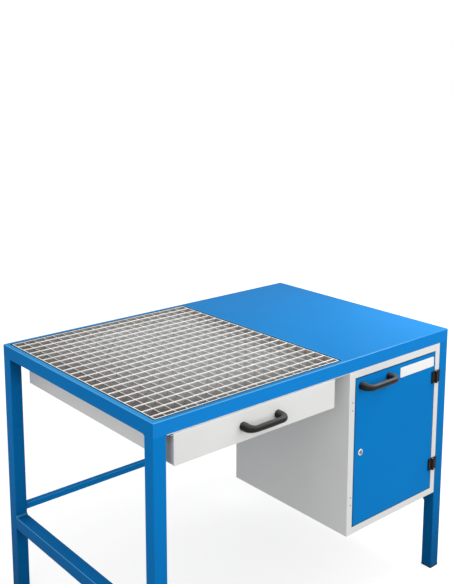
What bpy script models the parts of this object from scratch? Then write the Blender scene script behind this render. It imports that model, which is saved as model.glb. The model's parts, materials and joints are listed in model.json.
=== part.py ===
"""Steel work table with a lift-out grating, a drawer under it and a small locker.

Lengths are in metres, +Z is up and the front faces -Y. The origin is on the floor, in the
middle of the footprint with the handles counted. Most places are given as three distances:
along the table from its left end, in from its front edge and down from its top.
"""

import math

import bmesh
import bpy
from mathutils import Matrix, Vector

# Whole table
TABLE_LENGTH = 1.200
TABLE_DEPTH = 0.800
TABLE_HEIGHT = 0.850
SEAT_GAP = 0.0003
CUT_OVERRUN = 0.002
MERGE_DISTANCE = 0.00001
ROUND_SIDES = 24
SMALL_ROUND_SIDES = 12
NUT_SIDES = 6

# Folded worktop and what stiffens it
TOP_SHEET = 0.003
RIM_HEIGHT = 0.040
FOLD_RADIUS = 0.0025
OPENING_MARGIN = 0.015
OPENING_LOCKER_MARGIN = 0.023
CROSS_RAIL_WIDTH = 0.020
CROSS_RAIL_HEIGHT = 0.030
CROSS_RAIL_WALL = 0.002
RIB_WIDTH = 0.040
RIB_WALL = 0.002
RIB_PLACE_SHARES = (0.25, 0.75)
HANGER_BAR_WIDTH = 0.040
HANGER_BAR_END_MARGIN = 0.020
HANGER_BAR_BACK_MARGIN = 0.040

# Legs, lower rails and feet
LEG_SIZE = 0.040
LEG_WALL = 0.002
LEG_CORNER = 0.003
STRINGER_SIZE = 0.020
STRINGER_WALL = 0.0015
STRINGER_CORNER = 0.0015
STRINGER_RISE = 0.0105
CAP_THICKNESS = 0.005
CAP_PLUG_DEPTH = 0.015
CAP_EDGE = 0.001

# Grating and its seat
GRATING_CLEARANCE = 0.0025
GRATING_HEIGHT = 0.030
BAR_THICKNESS = 0.003
BAR_PITCH = 0.0392
FIRST_BAR = 0.0245
ROD_WIDTH = 0.002
ROD_HEIGHT = 0.010
ROD_INSET = 0.0005
ROD_PITCH = 0.0350
FIRST_ROD = 0.0415
LEDGE_SIZE = 0.030
LEDGE_WALL = 0.003

# Drawer, its ties and its runners
TIE_THICKNESS = 0.003
TIE_SETBACK = 0.001
RUNNER_SHEET = 0.002
RUNNER_TOP_WIDTH = 0.020
RUNNER_LIP_WIDTH = 0.009
RUNNER_CLEARANCE = 0.001
DRAWER_SHEET = 0.0015
DRAWER_LEG_MARGIN = 0.023
DRAWER_LOCKER_MARGIN = 0.068
DRAWER_BACK_MARGIN = 0.0445
DRAWER_FRONT_HEIGHT = 0.0867
DRAWER_FRONT_RETURN = 0.012
DRAWER_FLANGE = 0.008
TRAY_INSET = 0.0005

# Locker, shelf and door
LOCKER_WIDTH = 0.440
LOCKER_HEIGHT = 0.528
LOCKER_DEPTH = 0.515
LOCKER_SHEET = 0.0015
LOCKER_FOLD_RADIUS = 0.002
FACE_WIDTH = 0.023
LIP_DEPTH = 0.015
SHELF_PLACE_SHARE = 0.5
SHELF_CLEARANCE = 0.001
SHELF_SETBACK = 0.030
SHELF_FOLD = 0.020
BRACKET_SIZE = 0.015
BRACKET_SETBACK = 0.005
DOOR_SHEET = 0.0015
DOOR_GAP = 0.002
DOOR_RETURN = 0.015
DOOR_EDGE_RADIUS = 0.001

# Hinges
HINGE_SPREAD = 0.306
HINGE_HEIGHT = 0.040
HINGE_WIDTH = 0.040
HINGE_THICKNESS = 0.0045
HINGE_AXIS_OFFSET = 0.003
KNUCKLE_RADIUS = 0.005
KNUCKLE_CLEARANCE = 0.0006
KNUCKLE_SHARE = 0.3
PIN_RADIUS = 0.002
PIN_CLEARANCE = 0.00008
HINGE_EDGE = 0.0008
SCREW_HOLE_RADIUS = 0.0021
SCREW_HOLE_SPACING = 0.025
SPARE_HOLE_INSET = 0.0145

# Handles
HANDLE_SPACING = 0.128
HANDLE_REACH = 0.047
HANDLE_BEND = 0.022
HANDLE_BEND_STEPS = 6
GRIP_SIDES = 16
GRIP_RADIUS = 0.0095
GRIP_NECK_SHARE = 0.86
HANDLE_FOOT_RADIUS = 0.0125
HANDLE_FOOT_HEIGHT = 0.006
DOOR_HANDLE_INSET = 0.026
DOOR_HANDLE_DROP = 0.0265
BOLT_RADIUS = 0.0038
BOLT_CLEARANCE = 0.0004
BOLT_DEPTH = 0.016
BOLT_HEAD_RADIUS = 0.0065
BOLT_HEAD_HEIGHT = 0.0045

# Cam lock
LOCK_INSET = 0.029
LOCK_DROP = 0.003
LOCK_BODY_RADIUS = 0.009
LOCK_FLANGE_RADIUS = 0.0105
LOCK_FLANGE_HEIGHT = 0.002
LOCK_BODY_DEPTH = 0.0135
BARREL_RADIUS = 0.006
BARREL_CLEARANCE = 0.0002
BARREL_PROUD = 0.0005
KEYWAY_WIDTH = 0.0018
KEYWAY_LENGTH = 0.008
KEYWAY_DEPTH = 0.004
TAIL_RADIUS = 0.003
LOCK_NUT_RADIUS = 0.013
LOCK_NUT_HEIGHT = 0.004
CAM_THICKNESS = 0.0025
CAM_WIDTH = 0.014
CAM_REACH = 0.042
CAM_RUNNING_GAP = 0.0008
CAM_NUT_RADIUS = 0.006
CAM_NUT_HEIGHT = 0.003

# Places that several pieces share
LEFT = -TABLE_LENGTH / 2
FRONT = (HANDLE_REACH - TABLE_DEPTH) / 2
TOP = TABLE_HEIGHT
RIM_RETURN = LEG_SIZE
UNDER_SHEET = TOP_SHEET + SEAT_GAP
UNDER_RIM = RIM_HEIGHT + SEAT_GAP
OVER_RETURN = RIM_HEIGHT - TOP_SHEET - SEAT_GAP
LOCKER_START = TABLE_LENGTH - LEG_SIZE - LOCKER_WIDTH
OPENING_END = LOCKER_START - OPENING_LOCKER_MARGIN
CROSS_RAIL_START = OPENING_END + OPENING_MARGIN
CROSS_RAIL_END = CROSS_RAIL_START + CROSS_RAIL_WIDTH
LOCKER_END = TABLE_LENGTH - LEG_SIZE - SEAT_GAP
LOCKER_TOP = UNDER_RIM
LOCKER_BOTTOM = LOCKER_TOP + LOCKER_HEIGHT
SIDE_RAIL_TOP = RIM_HEIGHT + LOCKER_HEIGHT
SEAT_DEPTH = GRATING_HEIGHT + SEAT_GAP
TIE_BOTTOM = UNDER_RIM + TIE_THICKNESS
RUNNER_TOP = TIE_BOTTOM + SEAT_GAP
TRAY_TOP = RUNNER_TOP + RUNNER_SHEET + RUNNER_CLEARANCE
LIP_TOP = TRAY_TOP + DRAWER_SHEET + SEAT_GAP
RUNNER_BOTTOM = LIP_TOP + RUNNER_SHEET
RUNNER_START = DRAWER_FRONT_RETURN + RUNNER_CLEARANCE
DRAWER_START = LEG_SIZE + DRAWER_LEG_MARGIN
DRAWER_END = LOCKER_START - DRAWER_LOCKER_MARGIN
DRAWER_MIDDLE = (DRAWER_START + DRAWER_END) / 2
DRAWER_DEPTH = TABLE_DEPTH - DRAWER_BACK_MARGIN
DRAWER_FRONT_TOP = TIE_BOTTOM + RUNNER_CLEARANCE
DRAWER_BOTTOM = DRAWER_FRONT_TOP + DRAWER_FRONT_HEIGHT
TRAY_START = DRAWER_START + TRAY_INSET
TRAY_END = DRAWER_END - TRAY_INSET
TRAY_FRONT = DRAWER_SHEET + SEAT_GAP
DOOR_START = LOCKER_START + FACE_WIDTH + DOOR_GAP
DOOR_END = LOCKER_END - FACE_WIDTH - DOOR_GAP
DOOR_TOP = LOCKER_TOP + FACE_WIDTH + DOOR_GAP
DOOR_BOTTOM = LOCKER_BOTTOM - FACE_WIDTH - DOOR_GAP
DOOR_MIDDLE = (DOOR_TOP + DOOR_BOTTOM) / 2
HINGE_ALONG = DOOR_END + DOOR_GAP / 2 + HINGE_AXIS_OFFSET
HINGE_IN = -KNUCKLE_RADIUS - SEAT_GAP
LOCK_ALONG = DOOR_START + LOCK_INSET
LOCK_LEVEL = DOOR_MIDDLE + LOCK_DROP


def place(along, inward, down):
    """The world point at these distances from the left end, the front edge and the top."""
    return Vector((LEFT + along, FRONT + inward, TOP - down))


def new_collection(name):
    collection = bpy.data.collections.new(name)
    bpy.context.scene.collection.children.link(collection)
    return collection


def clear_scene():
    for obj in list(bpy.data.objects):
        bpy.data.objects.remove(obj, do_unlink=True)


clear_scene()
PARTS = new_collection("downdraft_table")
HELPERS = new_collection("cutters")


def finish(name, colour, roughness, metallic):
    material = bpy.data.materials.new(name)
    material.use_nodes = True
    shader = material.node_tree.nodes["Principled BSDF"]
    shader.inputs["Base Color"].default_value = (*colour, 1)
    shader.inputs["Roughness"].default_value = roughness
    shader.inputs["Metallic"].default_value = metallic
    return material


BLUE_PAINT = finish("blue_paint", (0.011, 0.230, 0.638), 0.38, 0)
GREY_PAINT = finish("grey_paint", (0.700, 0.700, 0.680), 0.42, 0)
GALVANISED = finish("galvanised_steel", (0.520, 0.530, 0.530), 0.45, 0.9)
BLACK_PLASTIC = finish("black_plastic", (0.018, 0.018, 0.018), 0.45, 0)
ZINC = finish("zinc_plate", (0.620, 0.620, 0.600), 0.28, 1)


def new_object(name, shape, origin, material):
    """A mesh object at origin from a bmesh in world places. One with no finish is a helper."""
    bmesh.ops.translate(shape, vec=-origin, verts=shape.verts)
    bmesh.ops.recalc_face_normals(shape, faces=shape.faces)
    mesh = bpy.data.meshes.new(name)
    shape.to_mesh(mesh)
    shape.free()
    obj = bpy.data.objects.new(name, mesh)
    obj.location = origin
    settle(obj, material)
    return obj


def settle(obj, material):
    """Puts a part in the parts' collection with its finish, and a helper in the other one."""
    if material is None:
        HELPERS.objects.link(obj)
        obj.hide_render = True
        obj.display_type = "WIRE"
    else:
        PARTS.objects.link(obj)
        obj.data.materials.append(material)


def blocks(name, boxes, material=None):
    """One object that holds a box for each (along, inward, down) triple of spans."""
    shape = bmesh.new()
    corners = []
    for along, inward, down in boxes:
        low = place(along[0], inward[0], down[1])
        high = place(along[1], inward[1], down[0])
        made = bmesh.ops.create_cube(shape, size=1)["verts"]
        bmesh.ops.scale(shape, vec=high - low, verts=made)
        bmesh.ops.translate(shape, vec=(low + high) / 2, verts=made)
        corners += [low, high]
    middle = sum(corners, Vector()) / len(corners)
    return new_object(name, shape, middle, material)


def block(name, along, inward, down, material=None):
    return blocks(name, [(along, inward, down)], material)


def prism(name, outline, axis, start, end, material=None):
    """An outline carried straight along one axis. Its points leave that axis out, and run
    in the order along, inward, down."""
    shape = bmesh.new()

    def point(pair, value):
        first, second = pair
        spots = {"X": (value, first, second), "Y": (first, value, second)}
        return place(*spots.get(axis, (first, second, value)))

    ring = [shape.verts.new(point(pair, start)) for pair in outline]
    face = shape.faces.new(ring)
    made = bmesh.ops.extrude_face_region(shape, geom=[face])["geom"]
    moved = [item for item in made if isinstance(item, bmesh.types.BMVert)]
    shift = point(outline[0], end) - point(outline[0], start)
    bmesh.ops.translate(shape, vec=shift, verts=moved)
    middle = sum((vert.co for vert in shape.verts), Vector()) / len(shape.verts)
    return new_object(name, shape, middle, material)


def turned(name, profile, origin, material=None, sides=ROUND_SIDES, upright=False):
    """A profile of (radius, height) points turned about its height. The height runs out of
    the front of the table, or upwards. The points run down the outer side."""
    shape = bmesh.new()
    verts = [shape.verts.new((radius, 0, height)) for radius, height in profile]
    for first, second in zip(verts, verts[1:]):
        shape.edges.new((first, second))
    if profile[0][0] > 0:
        shape.edges.new((verts[-1], verts[0]))
    mesh = bpy.data.meshes.new(name)
    shape.to_mesh(mesh)
    shape.free()
    obj = bpy.data.objects.new(name, mesh)
    obj.location = origin
    if not upright:
        obj.rotation_euler = (math.pi / 2, 0, 0)
    screw = obj.modifiers.new("Turn", "SCREW")
    screw.axis = "Z"
    screw.steps = sides
    screw.render_steps = sides
    screw.use_merge_vertices = True
    screw.merge_threshold = MERGE_DISTANCE
    settle(obj, material)
    mesh.shade_smooth()
    return obj


def round_bars(
    name, radius, spots, low, high, sides=ROUND_SIDES, upright=False, material=None
):
    """One object with a plain round bar at each spot, from height low to height high."""
    shape = bmesh.new()
    turn = Matrix() if upright else Matrix.Rotation(math.pi / 2, 4, "X")
    rise = Matrix.Translation((0, 0, (low + high) / 2))
    for spot in spots:
        bmesh.ops.create_cone(
            shape,
            cap_ends=True,
            segments=sides,
            radius1=radius,
            radius2=radius,
            depth=high - low,
            matrix=Matrix.Translation(spot) @ turn @ rise,
        )
    return new_object(name, shape, sum(spots, Vector()) / len(spots), material)


def hexagon_nut(name, radius, bore, spot, low, high):
    """A plain six-sided nut, open all the way through."""
    nut = round_bars(name, radius, [spot], low, high, NUT_SIDES, material=ZINC)
    hole = round_bars(name + "_bore", bore, [spot], low - CUT_OVERRUN, high + CUT_OVERRUN)
    cut(nut, hole)
    return nut


def soften(obj, radius, segments=2, keep=None):
    """Rounds the edges that keep picks by their two ends, or all of them."""
    bevel = obj.modifiers.new("Soften", "BEVEL")
    bevel.width = radius
    bevel.segments = segments
    bevel.limit_method = "ANGLE"
    if keep is None:
        return
    bevel.limit_method = "WEIGHT"
    shape = bmesh.new()
    shape.from_mesh(obj.data)
    weights = shape.edges.layers.float.new("bevel_weight_edge")
    for edge in shape.edges:
        edge[weights] = 1.0 if keep(*(vert.co for vert in edge.verts)) else 0.0
    shape.to_mesh(obj.data)
    shape.free()


def runs_along(axis):
    """Picks the edges that run along one axis."""
    return lambda first, second: abs((first - second).normalized()[axis]) > 0.9


def combine(obj, other, operation):
    modifier = obj.modifiers.new(operation.title(), "BOOLEAN")
    modifier.operation = operation
    modifier.solver = "EXACT"
    modifier.object = other


def cut(obj, *cutters):
    for cutter in cutters:
        combine(obj, cutter, "DIFFERENCE")


def fuse(obj, *others):
    for other in others:
        combine(obj, other, "UNION")


def carry(obj, holder):
    """Parents obj to holder and leaves it where it is."""
    obj.parent = holder
    obj.matrix_parent_inverse = Matrix.Translation(-holder.location)


def pivot(name, location):
    holder = bpy.data.objects.new(name, None)
    holder.location = location
    PARTS.objects.link(holder)
    return holder


def square_tube(name, along, inward, down, axis, wall, corner, material):
    """A tube with round outer corners, open at both ends of its axis."""
    tube = block(name, along, inward, down, material)
    soften(tube, corner, 2, runs_along(axis))
    spans = [along, inward, down]
    for index, (low, high) in enumerate(spans):
        step = -CUT_OVERRUN if index == axis else wall
        spans[index] = (low + step, high - step)
    cut(tube, block(name + "_bore", *spans))
    return tube


def worktop():
    """One sheet folded down on four sides and in again below, with the grating's opening."""
    top = block("worktop", (0, TABLE_LENGTH), (0, TABLE_DEPTH), (0, RIM_HEIGHT), BLUE_PAINT)
    soften(top, FOLD_RADIUS, 3, lambda a, b: max(a.z, b.z) > 0)
    inside = block(
        "worktop_inside",
        (TOP_SHEET, TABLE_LENGTH - TOP_SHEET),
        (TOP_SHEET, TABLE_DEPTH - TOP_SHEET),
        (TOP_SHEET, RIM_HEIGHT - TOP_SHEET),
    )
    opening = block(
        "worktop_opening",
        (OPENING_MARGIN, OPENING_END),
        (OPENING_MARGIN, TABLE_DEPTH - OPENING_MARGIN),
        (-CUT_OVERRUN, TOP_SHEET + CUT_OVERRUN),
    )
    underside = block(
        "worktop_underside",
        (RIM_RETURN, TABLE_LENGTH - RIM_RETURN),
        (RIM_RETURN, TABLE_DEPTH - RIM_RETURN),
        (RIM_HEIGHT - TOP_SHEET - CUT_OVERRUN, RIM_HEIGHT + CUT_OVERRUN),
    )
    cut(top, inside, opening, underside)


def legs():
    ends = {"left": 0, "right": TABLE_LENGTH - LEG_SIZE}
    rows = {"front": 0, "back": TABLE_DEPTH - LEG_SIZE}
    for end, along in ends.items():
        for row, inward in rows.items():
            leg_and_cap(f"{row}_{end}", along, inward)


def leg_and_cap(spot, along, inward):
    foot = TABLE_HEIGHT - CAP_THICKNESS
    square_tube(
        f"leg_{spot}",
        (along, along + LEG_SIZE),
        (inward, inward + LEG_SIZE),
        (UNDER_RIM, foot - SEAT_GAP),
        2,
        LEG_WALL,
        LEG_CORNER,
        BLUE_PAINT,
    )
    cap = block(
        f"foot_cap_{spot}",
        (along, along + LEG_SIZE),
        (inward, inward + LEG_SIZE),
        (foot, TABLE_HEIGHT),
        BLACK_PLASTIC,
    )
    soften(cap, CAP_EDGE, 1, runs_along(2))
    step = LEG_WALL + SEAT_GAP
    plug = block(
        f"foot_plug_{spot}",
        (along + step, along + LEG_SIZE - step),
        (inward + step, inward + LEG_SIZE - step),
        (foot - CAP_PLUG_DEPTH, foot + CAP_THICKNESS / 2),
    )
    fuse(cap, plug)


def lower_rails():
    """A rail between the legs at each end, and a slim stringer along the back."""
    between = (LEG_SIZE + SEAT_GAP, TABLE_DEPTH - LEG_SIZE - SEAT_GAP)
    level = (SIDE_RAIL_TOP, SIDE_RAIL_TOP + LEG_SIZE)
    for end, along in (("left", 0), ("right", TABLE_LENGTH - LEG_SIZE)):
        span = (along, along + LEG_SIZE)
        square_tube(
            f"side_rail_{end}", span, between, level, 1, LEG_WALL, LEG_CORNER, BLUE_PAINT
        )
    middle = TABLE_DEPTH - LEG_SIZE / 2
    bottom = SIDE_RAIL_TOP - STRINGER_RISE
    square_tube(
        "rear_stringer",
        (LEG_SIZE + SEAT_GAP, TABLE_LENGTH - LEG_SIZE - SEAT_GAP),
        (middle - STRINGER_SIZE / 2, middle + STRINGER_SIZE / 2),
        (bottom - STRINGER_SIZE, bottom),
        0,
        STRINGER_WALL,
        STRINGER_CORNER,
        BLUE_PAINT,
    )


def top_stiffeners():
    """The tube beside the grating, two channels under the sheet and the bar they carry."""
    inside = (TOP_SHEET + SEAT_GAP, TABLE_DEPTH - TOP_SHEET - SEAT_GAP)
    square_tube(
        "cross_rail",
        (CROSS_RAIL_START, CROSS_RAIL_END),
        inside,
        (UNDER_SHEET, UNDER_SHEET + CROSS_RAIL_HEIGHT),
        1,
        CROSS_RAIL_WALL,
        CROSS_RAIL_WALL,
        BLUE_PAINT,
    )
    room = TABLE_LENGTH - TOP_SHEET - CROSS_RAIL_END
    for name, share in zip(("left", "right"), RIB_PLACE_SHARES):
        middle = CROSS_RAIL_END + share * room
        start, end = middle - RIB_WIDTH / 2, middle + RIB_WIDTH / 2
        rib = block(
            f"worktop_rib_{name}", (start, end), inside, (UNDER_SHEET, OVER_RETURN), BLUE_PAINT
        )
        channel = block(
            f"worktop_rib_{name}_channel",
            (start + RIB_WALL, end - RIB_WALL),
            (inside[0] - CUT_OVERRUN, inside[1] + CUT_OVERRUN),
            (UNDER_SHEET - CUT_OVERRUN, OVER_RETURN - RIB_WALL),
        )
        cut(rib, channel)
    back = LOCKER_DEPTH - HANGER_BAR_BACK_MARGIN
    block(
        "locker_hanger_bar",
        (LOCKER_START + HANGER_BAR_END_MARGIN, LOCKER_END - HANGER_BAR_END_MARGIN),
        (back - HANGER_BAR_WIDTH, back),
        (RIM_HEIGHT - TOP_SHEET, RIM_HEIGHT),
        BLUE_PAINT,
    )


def angle_outline(back, top, toward):
    """An angle section with its upright leg against back and its seat at the bottom. Toward
    is +1 or -1, the way the seat points."""
    low = SEAT_DEPTH + LEDGE_WALL
    wall = back + toward * LEDGE_WALL
    tip = back + toward * LEDGE_SIZE
    return [
        (back, top),
        (wall, top),
        (wall, SEAT_DEPTH),
        (tip, SEAT_DEPTH),
        (tip, low),
        (back, low),
    ]


def ledges():
    """Four angles welded inside the rim and to the cross rail, which carry the grating."""
    near = TOP_SHEET + SEAT_GAP
    far = CROSS_RAIL_START - SEAT_GAP
    front = angle_outline(near, UNDER_SHEET, 1)
    back = angle_outline(TABLE_DEPTH - near, UNDER_SHEET, -1)
    prism("ledge_front", front, "X", near, far, BLUE_PAINT)
    prism("ledge_back", back, "X", near, far, BLUE_PAINT)
    start = near + LEDGE_SIZE + SEAT_GAP
    end = TABLE_DEPTH - start
    prism("ledge_left", angle_outline(near, UNDER_SHEET, 1), "Y", start, end, BLUE_PAINT)
    prism("ledge_right", angle_outline(far, UNDER_SHEET, -1), "Y", start, end, BLUE_PAINT)


def row_of(first, pitch, length):
    """Places from first on, a pitch apart, that stay half a pitch short of length."""
    count = int((length - first - pitch / 2) / pitch) + 1
    return [first + index * pitch for index in range(count)]


def grating():
    """A border of flat bars, bearing bars along the table and cross rods let into them."""
    start = OPENING_MARGIN + GRATING_CLEARANCE
    end = OPENING_END - GRATING_CLEARANCE
    near, far = start, TABLE_DEPTH - start
    down = (0, GRATING_HEIGHT)
    panel = block("grating", (start, end), (near, far), down, GALVANISED)
    wall = BAR_THICKNESS
    inside = block(
        "grating_inside",
        (start + wall, end - wall),
        (near + wall, far - wall),
        (-CUT_OVERRUN, GRATING_HEIGHT + CUT_OVERRUN),
    )
    length = (start + wall / 2, end - wall / 2)
    bars = [
        (length, (near + spot - wall / 2, near + spot + wall / 2), down)
        for spot in row_of(FIRST_BAR, BAR_PITCH, far - near)
    ]
    depth = (near + wall / 2, far - wall / 2)
    half = ROD_WIDTH / 2
    rods = [
        ((start + spot - half, start + spot + half), depth, (ROD_INSET, ROD_INSET + ROD_HEIGHT))
        for spot in row_of(FIRST_ROD, ROD_PITCH, end - start)
    ]
    cut(panel, inside)
    fuse(panel, blocks("grating_bearing_bars", bars), blocks("grating_cross_rods", rods))


def drawer_carrier():
    """Two flat ties under the rim, and the two channels that hang from them."""
    rows = {"front": TIE_SETBACK, "back": TABLE_DEPTH - RIM_RETURN + TIE_SETBACK}
    width = RIM_RETURN - 2 * TIE_SETBACK
    for row, inward in rows.items():
        block(
            f"drawer_tie_{row}",
            (LEG_SIZE + SEAT_GAP, LOCKER_START - SEAT_GAP),
            (inward, inward + width),
            (UNDER_RIM, TIE_BOTTOM),
            GREY_PAINT,
        )
    outer = DRAWER_FLANGE + RUNNER_CLEARANCE + RUNNER_SHEET
    for end, web, toward in (("left", TRAY_START - outer, 1), ("right", TRAY_END + outer, -1)):
        wall = web + toward * RUNNER_SHEET
        top_tip = web + toward * RUNNER_TOP_WIDTH
        lip_tip = web + toward * RUNNER_LIP_WIDTH
        outline = [
            (web, RUNNER_TOP),
            (top_tip, RUNNER_TOP),
            (top_tip, RUNNER_TOP + RUNNER_SHEET),
            (wall, RUNNER_TOP + RUNNER_SHEET),
            (wall, LIP_TOP),
            (lip_tip, LIP_TOP),
            (lip_tip, RUNNER_BOTTOM),
            (web, RUNNER_BOTTOM),
        ]
        stop = TABLE_DEPTH - TIE_SETBACK
        prism(f"drawer_runner_{end}", outline, "Y", RUNNER_START, stop, GREY_PAINT)


def bolt_spots(middle, down):
    half = HANDLE_SPACING / 2
    return [place(middle - half, 0, down), place(middle + half, 0, down)]


def bolt_holes(name, middle, down, walls):
    """Holes for a handle's two bolts through what lies between the front and walls."""
    return round_bars(
        name,
        BOLT_RADIUS + BOLT_CLEARANCE,
        bolt_spots(middle, down),
        -walls - CUT_OVERRUN,
        CUT_OVERRUN,
        SMALL_ROUND_SIDES,
    )


def handle(name, middle, down, walls, holder):
    """A round bow handle on two feet, with a bolt into each foot. Walls is the distance
    from the front to the far side of the sheets that the bolts pass through."""
    half = HANDLE_SPACING / 2
    out = HANDLE_REACH - GRIP_RADIUS
    bend = HANDLE_BEND
    quarter = math.pi / 2
    turns = [index / HANDLE_BEND_STEPS * quarter for index in range(HANDLE_BEND_STEPS + 1)]
    corner = [(bend * (1 - math.cos(t)), out - bend * (1 - math.sin(t))) for t in turns]
    neck = GRIP_RADIUS * GRIP_NECK_SHARE
    foot = [
        (0, SEAT_GAP, HANDLE_FOOT_RADIUS),
        (0, HANDLE_FOOT_HEIGHT / 2, HANDLE_FOOT_RADIUS),
        (0, HANDLE_FOOT_HEIGHT, neck),
    ]
    side = foot + [(x, y, neck + (GRIP_RADIUS - neck) * y / out) for x, y in corner]
    route = [(x - half, y, radius) for x, y, radius in side]
    route += [(half - x, y, radius) for x, y, radius in reversed(side)]
    data = bpy.data.curves.new(name, "CURVE")
    data.dimensions = "3D"
    data.bevel_depth = GRIP_RADIUS
    data.bevel_resolution = GRIP_SIDES // 2 - 2
    data.use_fill_caps = True
    spline = data.splines.new("POLY")
    spline.points.add(len(route) - 1)
    for point, (x, y, radius) in zip(spline.points, route):
        point.co = (x, -y, 0, 1)
        point.radius = radius / GRIP_RADIUS
    guide = bpy.data.objects.new(name + "_curve", data)
    guide.location = place(middle, 0, down)
    HELPERS.objects.link(guide)
    graph = bpy.context.evaluated_depsgraph_get()
    mesh = bpy.data.meshes.new_from_object(guide.evaluated_get(graph))
    shape = bmesh.new()
    shape.from_mesh(mesh)
    bmesh.ops.remove_doubles(shape, verts=shape.verts, dist=MERGE_DISTANCE)
    bmesh.ops.recalc_face_normals(shape, faces=shape.faces)
    shape.to_mesh(mesh)
    shape.free()
    bow = bpy.data.objects.new(name, mesh)
    bow.matrix_world = guide.matrix_world
    bow.location = guide.location
    bpy.data.objects.remove(guide)
    mesh.materials.clear()
    settle(bow, BLACK_PLASTIC)
    sockets = round_bars(
        name + "_sockets",
        BOLT_RADIUS + BOLT_CLEARANCE,
        bolt_spots(middle, down),
        -CUT_OVERRUN,
        BOLT_DEPTH + BOLT_CLEARANCE,
        SMALL_ROUND_SIDES,
    )
    cut(bow, sockets)
    for side_name, spot in zip(("left", "right"), bolt_spots(middle, down)):
        under_head = -walls - SEAT_GAP
        bolt = turned(
            f"{name}_bolt_{side_name}",
            [
                (0, BOLT_DEPTH),
                (BOLT_RADIUS, BOLT_DEPTH),
                (BOLT_RADIUS, under_head),
                (BOLT_HEAD_RADIUS, under_head),
                (BOLT_HEAD_RADIUS, under_head - BOLT_HEAD_HEIGHT),
                (0, under_head - BOLT_HEAD_HEIGHT),
            ],
            spot,
            ZINC,
            SMALL_ROUND_SIDES,
        )
        carry(bolt, holder)
    carry(bow, holder)


def tray_side(name, edge, toward, floor):
    """A side of the tray with the flange that runs in its channel. Edge is its outer face,
    and toward is +1 or -1, the way to the drawer's middle."""
    face = edge + toward * DRAWER_SHEET
    tip = edge - toward * DRAWER_FLANGE
    under = TRAY_TOP + DRAWER_SHEET
    outline = [
        (tip, TRAY_TOP),
        (face, TRAY_TOP),
        (face, floor),
        (edge, floor),
        (edge, under),
        (tip, under),
    ]
    return prism(name, outline, "Y", TRAY_FRONT, DRAWER_DEPTH, GREY_PAINT)


def drawer():
    """A tray of a bottom, two end walls and two flanged sides, and the drawer's front."""
    slide = pivot("drawer_slide", place(DRAWER_MIDDLE, 0, TRAY_TOP))
    sheet = DRAWER_SHEET
    tray_bottom = DRAWER_BOTTOM - TRAY_INSET
    floor = tray_bottom - sheet - SEAT_GAP
    bottom = block(
        "drawer_bottom",
        (TRAY_START, TRAY_END),
        (TRAY_FRONT, DRAWER_DEPTH),
        (tray_bottom - sheet, tray_bottom),
        GREY_PAINT,
    )
    left = tray_side("drawer_side_left", TRAY_START, 1, floor)
    right = tray_side("drawer_side_right", TRAY_END, -1, floor)
    between = (TRAY_START + sheet + SEAT_GAP, TRAY_END - sheet - SEAT_GAP)
    height = (TRAY_TOP, floor)
    walls = TRAY_FRONT + sheet
    near = block("drawer_wall_front", between, (TRAY_FRONT, walls), height, GREY_PAINT)
    far = block(
        "drawer_wall_back", between, (DRAWER_DEPTH - sheet, DRAWER_DEPTH), height, GREY_PAINT
    )
    front = prism(
        "drawer_front",
        [
            (0, DRAWER_FRONT_TOP),
            (DRAWER_FRONT_RETURN, DRAWER_FRONT_TOP),
            (DRAWER_FRONT_RETURN, DRAWER_FRONT_TOP + sheet),
            (sheet, DRAWER_FRONT_TOP + sheet),
            (sheet, DRAWER_BOTTOM),
            (0, DRAWER_BOTTOM),
        ],
        "X",
        DRAWER_START,
        DRAWER_END,
        GREY_PAINT,
    )
    middle = DRAWER_MIDDLE
    level = (DRAWER_FRONT_TOP + DRAWER_BOTTOM) / 2
    holes = bolt_holes("drawer_bolt_holes", middle, level, walls)
    cut(front, holes)
    cut(near, holes)
    handle("drawer_handle", middle, level, walls, slide)
    for piece in (bottom, left, right, near, far, front):
        carry(piece, slide)


def locker():
    """A folded shell with a face frame and a lip round its opening, its back and a shelf."""
    sheet = LOCKER_SHEET
    shell = block(
        "locker_shell",
        (LOCKER_START, LOCKER_END),
        (0, LOCKER_DEPTH),
        (LOCKER_TOP, LOCKER_BOTTOM),
        GREY_PAINT,
    )
    soften(shell, LOCKER_FOLD_RADIUS, 2, lambda a, b: a.y < 0 and b.y < 0)
    inside = block(
        "locker_inside",
        (LOCKER_START + sheet, LOCKER_END - sheet),
        (sheet, LOCKER_DEPTH + CUT_OVERRUN),
        (LOCKER_TOP + sheet, LOCKER_BOTTOM - sheet),
    )
    opening_spans = (
        (LOCKER_START + FACE_WIDTH, LOCKER_END - FACE_WIDTH),
        (-CUT_OVERRUN, LIP_DEPTH + CUT_OVERRUN),
        (LOCKER_TOP + FACE_WIDTH, LOCKER_BOTTOM - FACE_WIDTH),
    )
    opening = block("locker_opening", *opening_spans)
    lip = block(
        "locker_lip",
        (opening_spans[0][0] - sheet, opening_spans[0][1] + sheet),
        (sheet / 2, LIP_DEPTH),
        (opening_spans[2][0] - sheet, opening_spans[2][1] + sheet),
    )
    cut(shell, inside)
    fuse(shell, lip)
    cut(shell, opening)
    half = SCREW_HOLE_SPACING / 2
    holes = round_bars(
        "locker_screw_holes",
        SCREW_HOLE_RADIUS,
        [
            place(LOCKER_START + SPARE_HOLE_INSET, 0, level + step)
            for level in hinge_levels().values()
            for step in (-half, half)
        ],
        -sheet - CUT_OVERRUN,
        CUT_OVERRUN,
        SMALL_ROUND_SIDES,
    )
    cut(shell, holes)
    step = sheet + SEAT_GAP
    block(
        "locker_back",
        (LOCKER_START + step, LOCKER_END - step),
        (LOCKER_DEPTH - sheet, LOCKER_DEPTH),
        (LOCKER_TOP + step, LOCKER_BOTTOM - step),
        GREY_PAINT,
    )
    shelf(sheet)


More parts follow.
